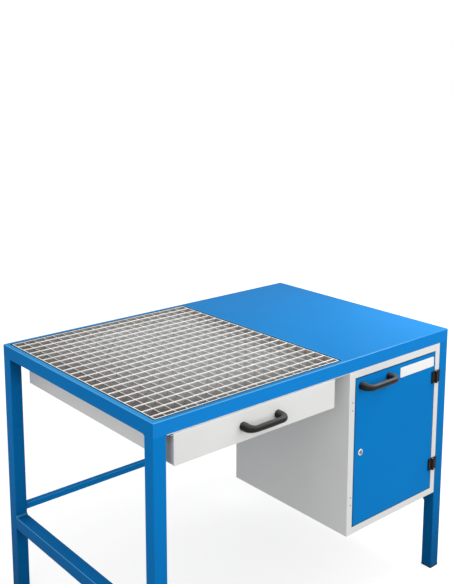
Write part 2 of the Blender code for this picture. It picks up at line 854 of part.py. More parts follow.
def shelf(sheet):
    """A shelf folded down at front and back, on an angle at each side."""
    step = sheet + SHELF_CLEARANCE
    start, end = LOCKER_START + step, LOCKER_END - step
    near, far = SHELF_SETBACK, LOCKER_DEPTH - step
    top = LOCKER_TOP + SHELF_PLACE_SHARE * LOCKER_HEIGHT
    board = block("locker_shelf", (start, end), (near, far), (top, top + SHELF_FOLD), GREY_PAINT)
    hollow = block(
        "locker_shelf_hollow",
        (start - CUT_OVERRUN, end + CUT_OVERRUN),
        (near + sheet, far - sheet),
        (top + sheet, top + SHELF_FOLD + CUT_OVERRUN),
    )
    cut(board, hollow)
    seat = top + sheet + SEAT_GAP
    walls = {
        "left": (LOCKER_START + sheet + SEAT_GAP, 1),
        "right": (LOCKER_END - sheet - SEAT_GAP, -1),
    }
    for side, (wall, toward) in walls.items():
        face = wall + toward * sheet
        tip = wall + toward * BRACKET_SIZE
        outline = [
            (wall, seat),
            (tip, seat),
            (tip, seat + sheet),
            (face, seat + sheet),
            (face, seat + BRACKET_SIZE),
            (wall, seat + BRACKET_SIZE),
        ]
        ends = (near + sheet + BRACKET_SETBACK, far - sheet - BRACKET_SETBACK)
        prism(f"shelf_bracket_{side}", outline, "Y", *ends, GREY_PAINT)


def hinge_levels():
    half = HINGE_SPREAD / 2
    return {"upper": DOOR_MIDDLE - half, "lower": DOOR_MIDDLE + half}


def hinge_leaf(name, level, toward, knuckles):
    """A leaf with its knuckles, which are spans of height measured from the hinge's middle.
    Toward is +1 for the leaf on the locker and -1 for the one on the door."""
    half = HINGE_HEIGHT / 2
    near = HINGE_ALONG + toward * (KNUCKLE_RADIUS + KNUCKLE_CLEARANCE)
    tip = HINGE_ALONG + toward * HINGE_WIDTH / 2
    inward = (-SEAT_GAP - HINGE_THICKNESS, -SEAT_GAP)
    plate = block(
        name, tuple(sorted((near, tip))), inward, (level - half, level + half), BLACK_PLASTIC
    )
    soften(plate, HINGE_EDGE, 1, lambda a, b: a.y < 0 and b.y < 0)
    axis_point = place(HINGE_ALONG, HINGE_IN, level)
    over = HINGE_THICKNESS / 2
    for index, (low, high) in enumerate(knuckles):
        spans = tuple(sorted((HINGE_ALONG, near + toward * over)))
        bridge = block(f"{name}_bridge_{index}", spans, inward, (level - high, level - low))
        knuckle = round_bars(
            f"{name}_knuckle_{index}", KNUCKLE_RADIUS, [axis_point], low, high, upright=True
        )
        fuse(plate, bridge, knuckle)
    bore = round_bars(
        f"{name}_bore",
        PIN_RADIUS + PIN_CLEARANCE,
        [axis_point],
        -half - CUT_OVERRUN,
        half + CUT_OVERRUN,
        upright=True,
    )
    cut(plate, bore)
    return plate


def hinges(door_pivot):
    """Two hinges of a locker leaf with two knuckles, a door leaf with one, and a pin."""
    half = HINGE_HEIGHT / 2
    part = KNUCKLE_SHARE * HINGE_HEIGHT
    ends = [(-half, part - half), (half - part, half)]
    middle = [(part - half + SEAT_GAP, half - part - SEAT_GAP)]
    for row, level in hinge_levels().items():
        hinge_leaf(f"hinge_{row}_locker_leaf", level, 1, ends)
        carry(hinge_leaf(f"hinge_{row}_door_leaf", level, -1, middle), door_pivot)
        profile = [(0, half), (PIN_RADIUS, half), (PIN_RADIUS, -half), (0, -half)]
        axis_point = place(HINGE_ALONG, HINGE_IN, level)
        turned(f"hinge_{row}_pin", profile, axis_point, ZINC, upright=True)


def door():
    """A folded door set in the locker's face, with its handle and lock."""
    door_pivot = pivot("door_pivot", place(HINGE_ALONG, HINGE_IN, DOOR_MIDDLE))
    sheet = DOOR_SHEET
    panel = block(
        "door_panel", (DOOR_START, DOOR_END), (0, DOOR_RETURN), (DOOR_TOP, DOOR_BOTTOM), BLUE_PAINT
    )
    soften(panel, DOOR_EDGE_RADIUS, 2, lambda a, b: a.y < 0 and b.y < 0)
    inside = block(
        "door_inside",
        (DOOR_START + sheet, DOOR_END - sheet),
        (sheet, DOOR_RETURN + CUT_OVERRUN),
        (DOOR_TOP + sheet, DOOR_BOTTOM - sheet),
    )
    cut(panel, inside)
    middle = DOOR_START + DOOR_HANDLE_INSET + HANDLE_SPACING / 2
    level = DOOR_TOP + DOOR_HANDLE_DROP
    cut(panel, bolt_holes("door_bolt_holes", middle, level, sheet))
    handle("door_handle", middle, level, sheet, door_pivot)
    carry(panel, door_pivot)
    lock(panel, door_pivot)
    hinges(door_pivot)


def lock(panel, door_pivot):
    """A cam lock: a housing held by a nut, and a barrel whose cam turns behind the lip."""
    axis_point = place(LOCK_ALONG, 0, LOCK_LEVEL)
    fit = LOCK_BODY_RADIUS + BOLT_CLEARANCE
    hole = round_bars("lock_hole", fit, [axis_point], -DOOR_SHEET - CUT_OVERRUN, CUT_OVERRUN)
    cut(panel, hole)
    bore = BARREL_RADIUS + BARREL_CLEARANCE
    flange_face = SEAT_GAP + LOCK_FLANGE_HEIGHT
    housing = turned(
        "lock_housing",
        [
            (bore, flange_face),
            (LOCK_FLANGE_RADIUS, flange_face),
            (LOCK_FLANGE_RADIUS, SEAT_GAP),
            (LOCK_BODY_RADIUS, SEAT_GAP),
            (LOCK_BODY_RADIUS, -LOCK_BODY_DEPTH),
            (bore, -LOCK_BODY_DEPTH),
        ],
        axis_point,
        ZINC,
    )
    nut_top = -DOOR_SHEET - SEAT_GAP
    nut = hexagon_nut(
        "lock_nut", LOCK_NUT_RADIUS, fit, axis_point, nut_top - LOCK_NUT_HEIGHT, nut_top
    )
    carry(housing, door_pivot)
    carry(nut, door_pivot)
    lock_pivot = pivot("lock_pivot", axis_point)
    carry(lock_pivot, door_pivot)
    turning_pieces(axis_point, flange_face, lock_pivot)


def turning_pieces(axis_point, flange_face, lock_pivot):
    """The barrel with its keyway, the cam on its tail and the nut that holds the cam."""
    cam_face = -DOOR_RETURN - CAM_RUNNING_GAP
    shoulder = cam_face + SEAT_GAP
    cam_back = cam_face - CAM_THICKNESS
    nut_face = cam_back - SEAT_GAP
    nut_back = nut_face - CAM_NUT_HEIGHT
    face = flange_face + BARREL_PROUD
    barrel = turned(
        "lock_barrel",
        [
            (0, face),
            (BARREL_RADIUS, face),
            (BARREL_RADIUS, shoulder),
            (TAIL_RADIUS, shoulder),
            (TAIL_RADIUS, nut_back),
            (0, nut_back),
        ],
        axis_point,
        ZINC,
    )
    keyway = block(
        "lock_keyway",
        (LOCK_ALONG - KEYWAY_WIDTH / 2, LOCK_ALONG + KEYWAY_WIDTH / 2),
        (-face - CUT_OVERRUN, -face + KEYWAY_DEPTH),
        (LOCK_LEVEL - KEYWAY_LENGTH / 2, LOCK_LEVEL + KEYWAY_LENGTH / 2),
    )
    cut(barrel, keyway)
    fit = TAIL_RADIUS + BARREL_CLEARANCE
    half = CAM_WIDTH / 2
    steps = range(SMALL_ROUND_SIDES + 1)
    turns = [math.pi * index / SMALL_ROUND_SIDES for index in steps]
    reach = CAM_REACH - half
    round_end = [(half * math.cos(t), reach + half * math.sin(t)) for t in turns]
    tail_end = [(half * math.cos(t), half * math.sin(t)) for t in (math.pi + t for t in turns)]
    outline = [(LOCK_ALONG + x, LOCK_LEVEL + y) for x, y in round_end + tail_end]
    cam = prism("lock_cam", outline, "Y", -cam_face, -cam_back, ZINC)
    eye = round_bars("lock_cam_eye", fit, [axis_point], cam_back - CUT_OVERRUN, 0)
    cut(cam, eye)
    nut = hexagon_nut("lock_cam_nut", CAM_NUT_RADIUS, fit, axis_point, nut_back, nut_face)
    for piece in (barrel, cam, nut):
        carry(piece, lock_pivot)


def main():
    worktop()
    legs()
    lower_rails()
    top_stiffeners()
    ledges()
    grating()
    drawer_carrier()
    drawer()
    locker()
    door()


main()
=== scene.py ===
"""Dresses the steel work table: its sheet, tube and grating surfaces, its paints and its stage."""

import json
import math

import bmesh
import bpy
import numpy as np
from bpy.props import FloatProperty, FloatVectorProperty, IntProperty, PointerProperty
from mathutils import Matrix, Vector

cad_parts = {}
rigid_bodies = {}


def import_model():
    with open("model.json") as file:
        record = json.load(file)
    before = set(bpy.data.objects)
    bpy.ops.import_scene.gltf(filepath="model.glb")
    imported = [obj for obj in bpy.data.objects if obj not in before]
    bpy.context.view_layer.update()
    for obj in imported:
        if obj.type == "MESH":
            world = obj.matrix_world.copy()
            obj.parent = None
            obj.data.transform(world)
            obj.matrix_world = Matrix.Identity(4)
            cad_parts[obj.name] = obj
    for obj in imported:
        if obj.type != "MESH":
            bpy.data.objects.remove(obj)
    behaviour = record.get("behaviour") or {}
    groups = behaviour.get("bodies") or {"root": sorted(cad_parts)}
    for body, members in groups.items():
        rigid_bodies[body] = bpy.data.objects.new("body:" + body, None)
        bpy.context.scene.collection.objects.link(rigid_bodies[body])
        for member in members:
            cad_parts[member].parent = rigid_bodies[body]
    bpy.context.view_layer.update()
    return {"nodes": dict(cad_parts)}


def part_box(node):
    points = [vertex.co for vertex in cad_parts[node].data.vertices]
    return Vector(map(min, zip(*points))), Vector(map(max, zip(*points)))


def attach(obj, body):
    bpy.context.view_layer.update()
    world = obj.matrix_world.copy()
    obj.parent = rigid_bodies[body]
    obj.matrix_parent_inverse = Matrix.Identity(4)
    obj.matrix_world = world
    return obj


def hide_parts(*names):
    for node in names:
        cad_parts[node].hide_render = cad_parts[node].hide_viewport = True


for leftover in list(bpy.data.objects):
    bpy.data.objects.remove(leftover)

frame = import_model()

bl_info = {
    "name": "Steel work table",
    "version": (1, 0, 0),
    "blender": (4, 5, 0),
    "location": "View3D > Sidebar > Table",
    "description": "Builds the surfaces and finishes of a steel work table with a grating",
    "category": "Object",
}

MERGE_DISTANCE = 0.000002
FLAT_WITHIN = math.radians(0.4)
ARC_STEPS = 5
UP = np.array((0.0, 0.0, 1.0))

# Thickness of the drawer's and the locker's sheets, of the channels and of the angles.
SHEET = 0.0015
CHANNEL = 0.002
ANGLE = 0.003

# The gap between two welded nodes, which a dressed piece closes.
SEAM = 0.0003

# The rounding of a flat bar's edges.
BAR_EDGE = 0.0005

# The slot of a finish, where it has another name than the finish.
SLOTS = {
    "leg_paint": "blue_paint",
    "top_paint": "blue_paint",
    "door_paint": "blue_paint",
    "front_paint": "grey_paint",
    "tray_paint": "grey_paint",
    "galvanised_border": "galvanised_steel",
    "hinge_black": "black_plastic",
    "barrel_plate": "chrome_plate",
    "white_plate": None,
}

# Each lamp's name, where it stands, what it aims at and the side of its square.
LAMPS = (
    ("key", (1.7, -1.4, 3.1), (0.1, 0.0, 0.6), 3.0),
    ("corner", (1.05, -0.45, 1.55), (0.95, -0.42, 0.8), 0.6),
    ("left", (-0.62, 0.0, 2.1), (-0.5, 0.0, 0.85), 1.0),
    ("sheen", (2.98, 1.28, 1.72), (0.6, -0.37, 0.85), 1.2),
    ("fill", (0.0, -2.0, 1.35), (0.0, 0.0, 0.6), 1.6),
    ("side", (-3.3, -2.0, 2.0), (0.0, 0.0, 0.5), 2.6),
)


# Surfaces


def box_of(node):
    """The lowest and the highest corner of a node of the frame, as two arrays."""
    low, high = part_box(node)
    return np.array(low), np.array(high)


def joined(shapes):
    """Several (points, faces) shapes as one: each shape's face numbers are raised by the count
    of the points before it."""
    points, faces, before = [], [], 0
    for shape_points, shape_faces in shapes:
        points.append(shape_points)
        faces += [[number + before for number in face] for face in shape_faces]
        before += len(shape_points)
    return np.concatenate(points), faces


def skin(rings, loop=False):
    """A surface through a stack of closed rings. Point (i, j) of the grid is point j of ring
    i, and each face joins (i, j), (i, j+1), (i+1, j+1) and (i+1, j), with j counted round.
    With loop the last ring joins the first, and without it each end gets one flat face."""
    rings = np.asarray(rings)
    count, around = rings.shape[:2]
    index = np.arange(count * around).reshape(count, around)
    near, far = (index, np.roll(index, -1, axis=0)) if loop else (index[:-1], index[1:])
    corners = [near, np.roll(near, -1, axis=1), np.roll(far, -1, axis=1), far]
    faces = np.stack(corners, axis=-1).reshape(-1, 4).tolist()
    if not loop:
        faces += [index[0].tolist(), index[-1].tolist()]
    return rings.reshape(-1, 3), faces


def smooth_step(value):
    """The cubic 3 v v - 2 v v v of a value held between 0 and 1."""
    value = np.clip(value, 0, 1)
    return value * value * (3 - 2 * value)


def rounded_rectangle(half_a, half_b, radius, steps=ARC_STEPS):
    """A ring of points: each corner's centre, plus the radius times (cos t, sin t), with t
    going once round."""
    quarter = np.linspace(0, math.pi / 2, steps + 1)
    turn = np.concatenate([quarter + k * math.pi / 2 for k in range(4)])
    signs = np.repeat([(1, 1), (-1, 1), (-1, -1), (1, -1)], steps + 1, axis=0)
    centre = signs * (half_a - radius, half_b - radius)
    return centre + radius * np.stack([np.cos(turn), np.sin(turn)], axis=1)


def placed(outline, axis, place):
    """An outline in space, square to an axis: the place is its coordinate on that axis."""
    return np.insert(outline, axis, place, axis=1)


def slab(low, high, edge, steps=2):
    """A box with round edges and corners, as a stack of rounded rectangles. While f climbs
    from -90 to 90 degrees, a rectangle is larger than the box drawn in by edge, and rounded,
    by edge times cos f, and it stands beyond that box's bottom or top by edge times sin f."""
    low, high = np.array(low, float), np.array(high, float)
    middle, inner = (low + high) / 2, (high - low) / 2 - edge
    quarter = np.linspace(0, math.pi / 2, steps + 1)
    rings = []
    for side, climb in ((-1, quarter - math.pi / 2), (1, quarter)):
        for angle in climb:
            out = edge * math.cos(angle)
            outline = rounded_rectangle(inner[0] + out, inner[1] + out, out, steps)
            level = middle[2] + side * inner[2] + edge * math.sin(angle)
            rings.append(placed(middle[:2] + outline, 2, level))
    return skin(rings)


def bent_line(corners, radius):
    """A polyline with an arc of that radius at each inner corner, as points and left normals,
    which are complex numbers. On the arc the normal turns evenly by the corner's angle, and
    the point is the arc's centre minus the radius times that normal, on the side the line
    turns to."""
    corners = np.array(corners, float) @ (1, 1j)
    along = np.diff(corners) / abs(np.diff(corners))
    points, normals = [corners[:1]], [1j * along[:1]]
    for corner, before, after in zip(corners[1:], along, along[1:]):
        angle = np.angle(after / before)
        start = corner - before * radius * math.tan(abs(angle) / 2)
        swung = 1j * before * np.exp(1j * np.linspace(0, angle, ARC_STEPS + 1))
        points.append(start + math.copysign(radius, angle) * (1j * before - swung))
        normals.append(swung)
    points.append(corners[-1:])
    normals.append(1j * along[-1:])
    return np.concatenate(points), np.concatenate(normals)


def folded(corners, thickness, radius, axis, low, high):
    """A bent sheet. Its outline is its middle line moved half the thickness to the left, then
    back along the middle line moved as much to the right, and the outline is carried straight
    along one axis between the two corners of a box."""
    points, normals = bent_line(corners, radius + thickness / 2)
    half = normals * thickness / 2
    outline = np.concatenate([points + half, (points - half)[::-1]])
    outline = np.stack([outline.real, outline.imag], axis=1)
    return skin([placed(outline, axis, low[axis]), placed(outline, axis, high[axis])])


def bent_sheet(node, corners, thickness, radius, axis=1, mirrored=False):
    """A bent sheet that fills a node's box and runs along one axis. The corners of its middle
    line are shares of the box's section, counted from the far side where it is mirrored. A
    straight that runs beside a side of the box is half the thickness in from that side."""
    low, high = box_of(node)
    shares = abs(np.array(corners, float) - (mirrored, 0))
    beside = np.diff(shares, axis=0) == 0
    drawn_in = np.pad(beside, ((0, 1), (0, 0))) | np.pad(beside, ((1, 0), (0, 0)))
    line = np.delete(low, axis) + shares * np.delete(high - low, axis)
    line += drawn_in * (0.5 - shares) * thickness
    return folded(line, thickness, radius, axis, low, high)


def square_tube(low, high, axis, wall, radius):
    """A tube of rounded square section: the outer ring at both ends and the inner ring at
    both ends make one closed loop of four rings."""
    middle, half = np.delete((low + high) / 2, axis), np.delete((high - low) / 2, axis)
    outer = middle + rounded_rectangle(*half, radius)
    inner = middle + rounded_rectangle(*(half - wall), max(radius - wall, radius / 4))
    stack = (outer, low), (outer, high), (inner, high), (inner, low)
    return skin([placed(outline, axis, end[axis]) for outline, end in stack], loop=True)


def turned(profile, centre, sides):
    """A closed profile of (radius, depth) pairs turned about an axis that runs to the back: a
    point is the centre plus (-radius sin t, depth, -radius cos t)."""
    turn = np.linspace(0, 2 * math.pi, sides, endpoint=False)
    unit = np.stack([-np.sin(turn), 0 * turn, -np.cos(turn)], axis=1)
    radius, depth = np.array(profile).T[..., None, None]
    return skin(radius * unit + depth * (0, 1, 0) + centre, loop=True)


def weld_bead(start, end, first, second, size, ripple=0.07, pitch=0.0028):
    """A fillet weld along a corner from start to end. Its section is the corner, then a
    hollow quarter arc from size along first to size along second. The size swells by
    1 + ripple cos(2 pi s / pitch) with the way s along the bead, and fades at both ends."""
    start, end = np.array(start, float), np.array(end, float)
    length = np.linalg.norm(end - start)
    way = np.linspace(0, 1, max(int(length / pitch * 4), 8))
    swell = size * (1 + ripple * np.cos(2 * math.pi * way * length / pitch))
    swell *= 1 - 0.35 * np.clip(1 - np.minimum(way, 1 - way) * length / size, 0, 1) ** 2
    bend = np.linspace(0, math.pi / 2, 5)[1:-1]
    hollow = np.stack([1 - 0.82 * np.sin(bend), 1 - 0.82 * np.cos(bend)], axis=1)
    shares = np.concatenate([[(0.0, 0.0), (1.0, 0.0)], hollow, [(0.0, 1.0)]])
    section = shares @ np.array((first, second), float)
    centre = start + way[:, None] * (end - start)
    return skin(centre[:, None] + swell[:, None, None] * section)


def cross_head(centre, radius, dome):
    """A screw head that faces the front. On rings of radius q and angle t its height is
    dome times (0.45 + 0.55 (1 - q q)), less a drive cross: a recess where the shorter of |x|
    and |z| is under a fifth of the radius and the longer is under about half of it."""
    turn = np.linspace(0, 2 * math.pi, 32, endpoint=False)
    shares = np.array([1.0, 1.0, 0.92, 0.8, 0.62, 0.5, 0.4, 0.28, 0.16, 0.05])
    x = shares[:, None] * np.cos(turn)
    z = shares[:, None] * np.sin(turn)
    height = dome * (0.45 + 0.55 * (1 - (x * x + z * z)))
    long, short = np.maximum(abs(x), abs(z)), np.minimum(abs(x), abs(z))
    height -= 0.8 * dome * smooth_step((0.55 - long) / 0.1) * smooth_step((0.2 - short) / 0.06)
    foot = -0.0006
    height[0] = foot
    return skin(np.stack([radius * x, -height, radius * z], axis=-1) + centre)


# Pieces


def piece(name, shapes, body, finish, nodes=(), slot=None, sharp=40):
    """Makes one object of closed shapes in the row frame, in the place of some nodes."""
    points, faces = joined(shapes)
    mesh = bpy.data.meshes.new(name)
    mesh.from_pydata(points, [], faces)
    settle(name, mesh, body, finish, nodes, slot, sharp)


def dressed(node, kind, shape, body, finish, sharp=40):
    """Makes one object of one shape, in the place of the node that it is named after."""
    piece(f"{node}_{kind}", [shape], body, finish, [node], sharp=sharp)


def merged_copy(node, kind, body, finish, name=None):
    """A copy of a node's mesh with its loose triangles joined, shown in the node's place."""
    mesh = frame["nodes"][node].data.copy()
    mesh.name = name or f"{node}_{kind}"
    settle(mesh.name, mesh, body, finish, [node], flatten=True)


def settle(name, mesh, body, finish, nodes, slot=None, sharp=40, flatten=False):
    """Closes a mesh's seams, turns its faces outwards and puts it on its body."""
    shape = bmesh.new()
    shape.from_mesh(mesh)
    bmesh.ops.remove_doubles(shape, verts=shape.verts, dist=MERGE_DISTANCE)
    if flatten:
        bmesh.ops.dissolve_limit(
            shape, angle_limit=FLAT_WITHIN, verts=shape.verts, edges=shape.edges
        )
    bmesh.ops.recalc_face_normals(shape, faces=shape.faces)
    shape.to_mesh(mesh)
    shape.free()
    mesh.materials.clear()
    mesh.materials.append(finishes()[finish])
    mesh.shade_smooth()
    mesh.set_sharp_from_angle(angle=math.radians(sharp))
    made = bpy.data.objects.new(name, mesh)
    bpy.context.scene.collection.objects.link(made)
    normals = made.modifiers.new("Even normals", "WEIGHTED_NORMAL")
    normals.keep_sharp = True
    normals.weight = 90
    slot = slot or SLOTS.get(finish, finish)
    if nodes:
        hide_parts(*nodes)
    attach(made, body)


def refinish(node, finish):
    """Gives a node of the frame its material and leaves its shape alone."""
    for place in frame["nodes"][node].material_slots:
        place.link = "OBJECT"
        place.material = finishes()[finish]


# Finishes


class Nodes:
    """The node tree of one new material or world, built a node at a time."""

    def __init__(self, owner):
        owner.use_nodes = True
        self.owner, self.tree, self.coordinates = owner, owner.node_tree, None
        self.tree.nodes.clear()

    def add(self, kind, inputs=None, **settings):
        node = self.tree.nodes.new(kind)
        for key, value in settings.items():
            setattr(node, key, value)
        for key, value in (inputs or {}).items():
            socket = node.inputs[key]
            if isinstance(value, bpy.types.NodeSocket):
                self.tree.links.new(value, socket)
            else:
                socket.default_value = value
        return node

    def coordinate(self, kind):
        """The place on the object, or the surface's normal."""
        if self.coordinates is None:
            self.coordinates = self.add("ShaderNodeTexCoord").outputs
        return self.coordinates[kind]

    def part(self, kind, axis):
        """The part of a coordinate along an axis."""
        return self.add("ShaderNodeSeparateXYZ", {0: self.coordinate(kind)}).outputs[axis]

    def noise(self, scale, detail=3.0, roughness=0.55, place=None):
        place = self.coordinate("Object") if place is None else place
        inputs = {"Vector": place, "Scale": scale, "Detail": detail, "Roughness": roughness}
        return self.add("ShaderNodeTexNoise", inputs).outputs["Fac"]

    def spread(self, value, low, high, to_low=0.0, to_high=1.0):
        """As far from to_low to to_high as the value is from low to high, held at both ends."""
        inputs = {0: value, 1: low, 2: high, 3: to_low, 4: to_high}
        return self.add("ShaderNodeMapRange", inputs).outputs["Result"]

    def maths(self, operation, first, second, clamp=False):
        inputs = {0: first, 1: second}
        return self.add("ShaderNodeMath", inputs, operation=operation, use_clamp=clamp).outputs[0]

    def product(self, first, *others):
        for other in others:
            first = self.maths("MULTIPLY", first, other)
        return first

    def vector_maths(self, operation, *vectors, output="Vector"):
        inputs = dict(enumerate(vectors))
        return self.add("ShaderNodeVectorMath", inputs, operation=operation).outputs[output]

    def upward(self, low=0.3, high=0.8):
        """1 on faces that look up, 0 on those that don't."""
        return self.spread(self.part("Normal", "Z"), low, high)

    def inside(self, low, high, reach):
        """Seen from above: 0 outside a rectangle, rising to 1 at reach inside its sides."""
        share = 1.0
        for number, axis in enumerate("XY"):
            place = self.part("Object", axis)
            for edge, way in ((low[number], reach), (high[number], -reach)):
                share = self.product(share, self.spread(place, edge, edge + way))
        return share

    def mixed(self, share, first, second):
        inputs = {0: share, 6: first, 7: second}
        return self.add("ShaderNodeMix", inputs, data_type="RGBA").outputs[2]

    def bump(self, height, distance, strength=1.0, after=None):
        inputs = {"Height": height, "Distance": distance, "Strength": strength}
        if after is not None:
            inputs["Normal"] = after
        return self.add("ShaderNodeBump", inputs).outputs["Normal"]

    def open_share(self, reach):
        """The share of the light from all round that a gap of that reach lets in."""
        return self.add("ShaderNodeAmbientOcclusion", {"Distance": reach}, samples=6).outputs["AO"]

    def finish(self, inputs, shader="ShaderNodeBsdfPrincipled", output="ShaderNodeOutputMaterial"):
        self.add(output, {"Surface": self.add(shader, inputs).outputs[0]})
        return self.owner


def shade(colour, factor):
    """A colour times a factor, held at 1, with an alpha of 1."""
    return tuple(min(part * factor, 1.0) for part in colour[:3]) + (1.0,)


def pale_highlight(colour):
    """The colour of a painted highlight on the coat: part of the way to a pale sky blue, as strong
    as the colour's strongest part."""
    sky = [share * max(colour) for share in (0.42, 1.45, 1.6)]
    return tuple(max(part, 0.76 * part + 0.24 * most) for part, most in zip(colour, sky)) + (1,)


def door_gap_shade(nodes, tone, colour):
    """Painted shade along the door's left and top edges, beside the dark gap round the door."""
    (left, _, _), (_, _, top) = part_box("door_panel")
    beside = nodes.spread(nodes.part("Object", "X"), left + 0.0015, left + 0.004)
    below = nodes.spread(nodes.part("Object", "Z"), top - 0.001, top - 0.003)
    return nodes.mixed(nodes.product(beside, below), shade(colour, 0.45), tone)


def leg_occlusion_shade(nodes, tone, colour):
    """Painted shade on what stands under the table or near the floor: darker where less light
    reaches it from all round.
    """
    clear = nodes.spread(nodes.open_share(0.7), 0.45, 0.92)
    return nodes.mixed(clear, shade(colour, 0.36), tone)


def top_painted_light(nodes, tone, colour):
    """Painted light and shade on the top: lighter front faces and a whiter sheen on upward
    faces, a painted highlight along the top's outer edges, painted light round the grating,
    and painted shade before the grating and on the sides of its opening."""
    upward = nodes.upward()
    # Painted light: front faces lighter and upward faces whiter, because of where the light falls.
    frontward = nodes.spread(nodes.part("Normal", "Y"), -0.3, -0.8)
    for share, tints in ((frontward, (2.2, 1.11, 1.12)), (upward, (1.5, 1.0, 0.94))):
        tone = nodes.mixed(share, tone, nodes.vector_maths("MULTIPLY", tone, tints))
    low, high = box_of("grating")
    # Painted light: upward faces round the grating made paler.
    lit_round_grating = nodes.inside(low - (0.05, 0.05, 0.0), high + (0.015, 0.05, 0.0), 0.02)
    tone = nodes.mixed(nodes.product(lit_round_grating, upward, 0.32), tone, pale_highlight(colour))
    # Painted shade: upward faces just before the grating's front darkened.
    shade_before_grating = nodes.inside(low - (0.0, 0.034, 0.0), (high[0], low[1] + 0.1), 0.03)
    tone = nodes.mixed(nodes.product(shade_before_grating, upward, 0.5), tone, shade(colour, 0.4))
    # Painted highlight: a pale line along the top's outer edges, fading to the right.
    outer = nodes.maths("SUBTRACT", 1.0, nodes.inside(*box_of("worktop"), 0.0035))
    fading = nodes.spread(nodes.part("Object", "X"), 0.0, 0.5, 1.0, 0.2)
    tone = nodes.mixed(nodes.product(outer, upward, fading), tone, pale_highlight(colour))
    # Painted shade: the sides of the opening round the grating made nearly black.
    margin = 0.004
    opening = nodes.inside(low - margin, high + margin, margin / 4)
    sides = nodes.product(opening, nodes.maths("SUBTRACT", 1.0, upward))
    return nodes.mixed(sides, tone, shade(colour, 0.1))


def powder_coat(name, colour, gloss, depth, shine=0.3, reach=0.012, painted_light_and_shade=None):
    """Baked powder paint: a fine orange peel, a slow change of tone over the panel and a
    slightly uneven gloss. With n the surface's normal, the sum of the fourth powers of its
    parts falls from 1 on a flat to 1/2 half way round a bend, where a painted highlight makes
    the coat paler, most on bends that face up and less so towards the table's right end, and
    the coat is glossier. Painted shade darkens the gaps that little light gets into. The
    function given last adds painted light and shade at one place only."""
    nodes = Nodes(bpy.data.materials.new(name))
    slow = nodes.spread(nodes.noise(2.3, 2.0), 0.3, 0.7)
    tone = nodes.mixed(slow, shade(colour, 0.965), shade(colour, 1.03))
    speck = nodes.spread(nodes.noise(95.0, 4.0, 0.7), 0.62, 0.8, 0, 0.12)
    tone = nodes.mixed(speck, tone, shade(colour, 0.86))
    normal = nodes.coordinate("Normal")
    squares = nodes.vector_maths("MULTIPLY", normal, normal)
    fourths = nodes.vector_maths("DOT_PRODUCT", squares, squares, output="Value")
    # Painted highlight on bends: stronger where they face up, and fading towards the right end.
    highlight_reach = nodes.spread(nodes.part("Object", "X"), 0.1, 0.5, 1.0, 0.2)
    lit_from_above = nodes.spread(nodes.part("Normal", "Z"), 0.1, 0.5, 0.05, 1.0)
    bend = nodes.spread(fourths, 0.95, 0.55, 0, nodes.product(lit_from_above, highlight_reach))
    tone = nodes.mixed(bend, tone, pale_highlight(colour))
    # Painted shade: darker where the gaps let little light in.
    gap_shade = nodes.spread(nodes.open_share(reach), 0.28, 0.6)
    tone = nodes.mixed(gap_shade, shade(colour, 0.12), tone)
    # Painted light and shade that belong to one place only.
    if painted_light_and_shade:
        tone = painted_light_and_shade(nodes, tone, colour)
    rough = nodes.spread(nodes.noise(420.0, 2.0), 0.3, 0.7, gloss - 0.03, gloss + 0.04)
    peel = nodes.bump(nodes.noise(640.0, 2.0, 0.4), depth)
    wave = nodes.bump(nodes.noise(38.0, 1.0), depth * 2, 0.5, peel)
    level = nodes.spread(bend, 0, 1, shine, 0.28)
    return nodes.finish(
        {"Base Color": tone, "Roughness": rough, "Normal": wave, "Specular IOR Level": level}
    )


def hot_dip_zinc(name, colour, highlight_reach, border=False):
    """Galvanised steel: crystals a few millimetres across, each with its own tone and gloss,
    under fine runs and grey stains. A painted highlight makes it bright down to a depth below
    the grating's top, and painted shade makes it darker and browner round its edges and
    towards the left. The border's outer side is dark with painted shade."""
    nodes = Nodes(bpy.data.materials.new(name))
    inputs = {"Vector": nodes.coordinate("Object"), "Scale": 150.0, "Randomness": 1.0}
    crystals = nodes.add("ShaderNodeTexVoronoi", inputs, feature="F1").outputs["Color"]
    cell = nodes.add("ShaderNodeSeparateColor", {"Color": crystals})
    low, high = box_of("grating")
    # Painted highlight: the bars lit bright down to a depth below the grating's top.
    lit_from_above = nodes.spread(nodes.part("Object", "Z"), high[2] - highlight_reach, high[2] - highlight_reach / 2)
    shaded_zinc = nodes.mixed(cell.outputs[0], shade(colour, 0.64), shade(colour, 0.77))
    # Painted shade: darker and browner near the grating's edges and towards its left end.
    shaded_zinc = nodes.mixed(nodes.inside(low, high, 0.11), (0.38, 0.35, 0.32, 1.0), shaded_zinc)
    left_shade = nodes.spread(nodes.part("Object", "X"), low[0], low[0] + 0.3, 0.5, 0)
    shaded_zinc = nodes.mixed(left_shade, shaded_zinc, (0.16, 0.125, 0.105, 1.0))
    lit_zinc = nodes.mixed(cell.outputs[0], shade(colour, 1.2), shade(colour, 1.25))
    tone = nodes.mixed(lit_from_above, shaded_zinc, lit_zinc)
    if border:
        inset = bpy.context.scene.table_details.border_inset
        # Painted shade on the border's outer side, which faces the dark gap.
        inner = nodes.inside(low + inset, high - inset, 0.0008)
        unshaded = nodes.maths("MAXIMUM", inner, nodes.upward())
        tone = nodes.mixed(unshaded, shade(colour, 0.1), tone)
    stain = nodes.spread(nodes.noise(16.0, 4.0, 0.6), 0.52, 0.75, 0, 0.3)
    tone = nodes.mixed(stain, tone, shade(colour, 0.66))
    rough = nodes.spread(cell.outputs[1], 0, 1, 0.34, 0.52)
    runs = nodes.bump(nodes.noise(320.0, 3.0), 0.00006)
    return nodes.finish({"Base Color": tone, "Roughness": rough, "Normal": runs, "Metallic": 0.35})


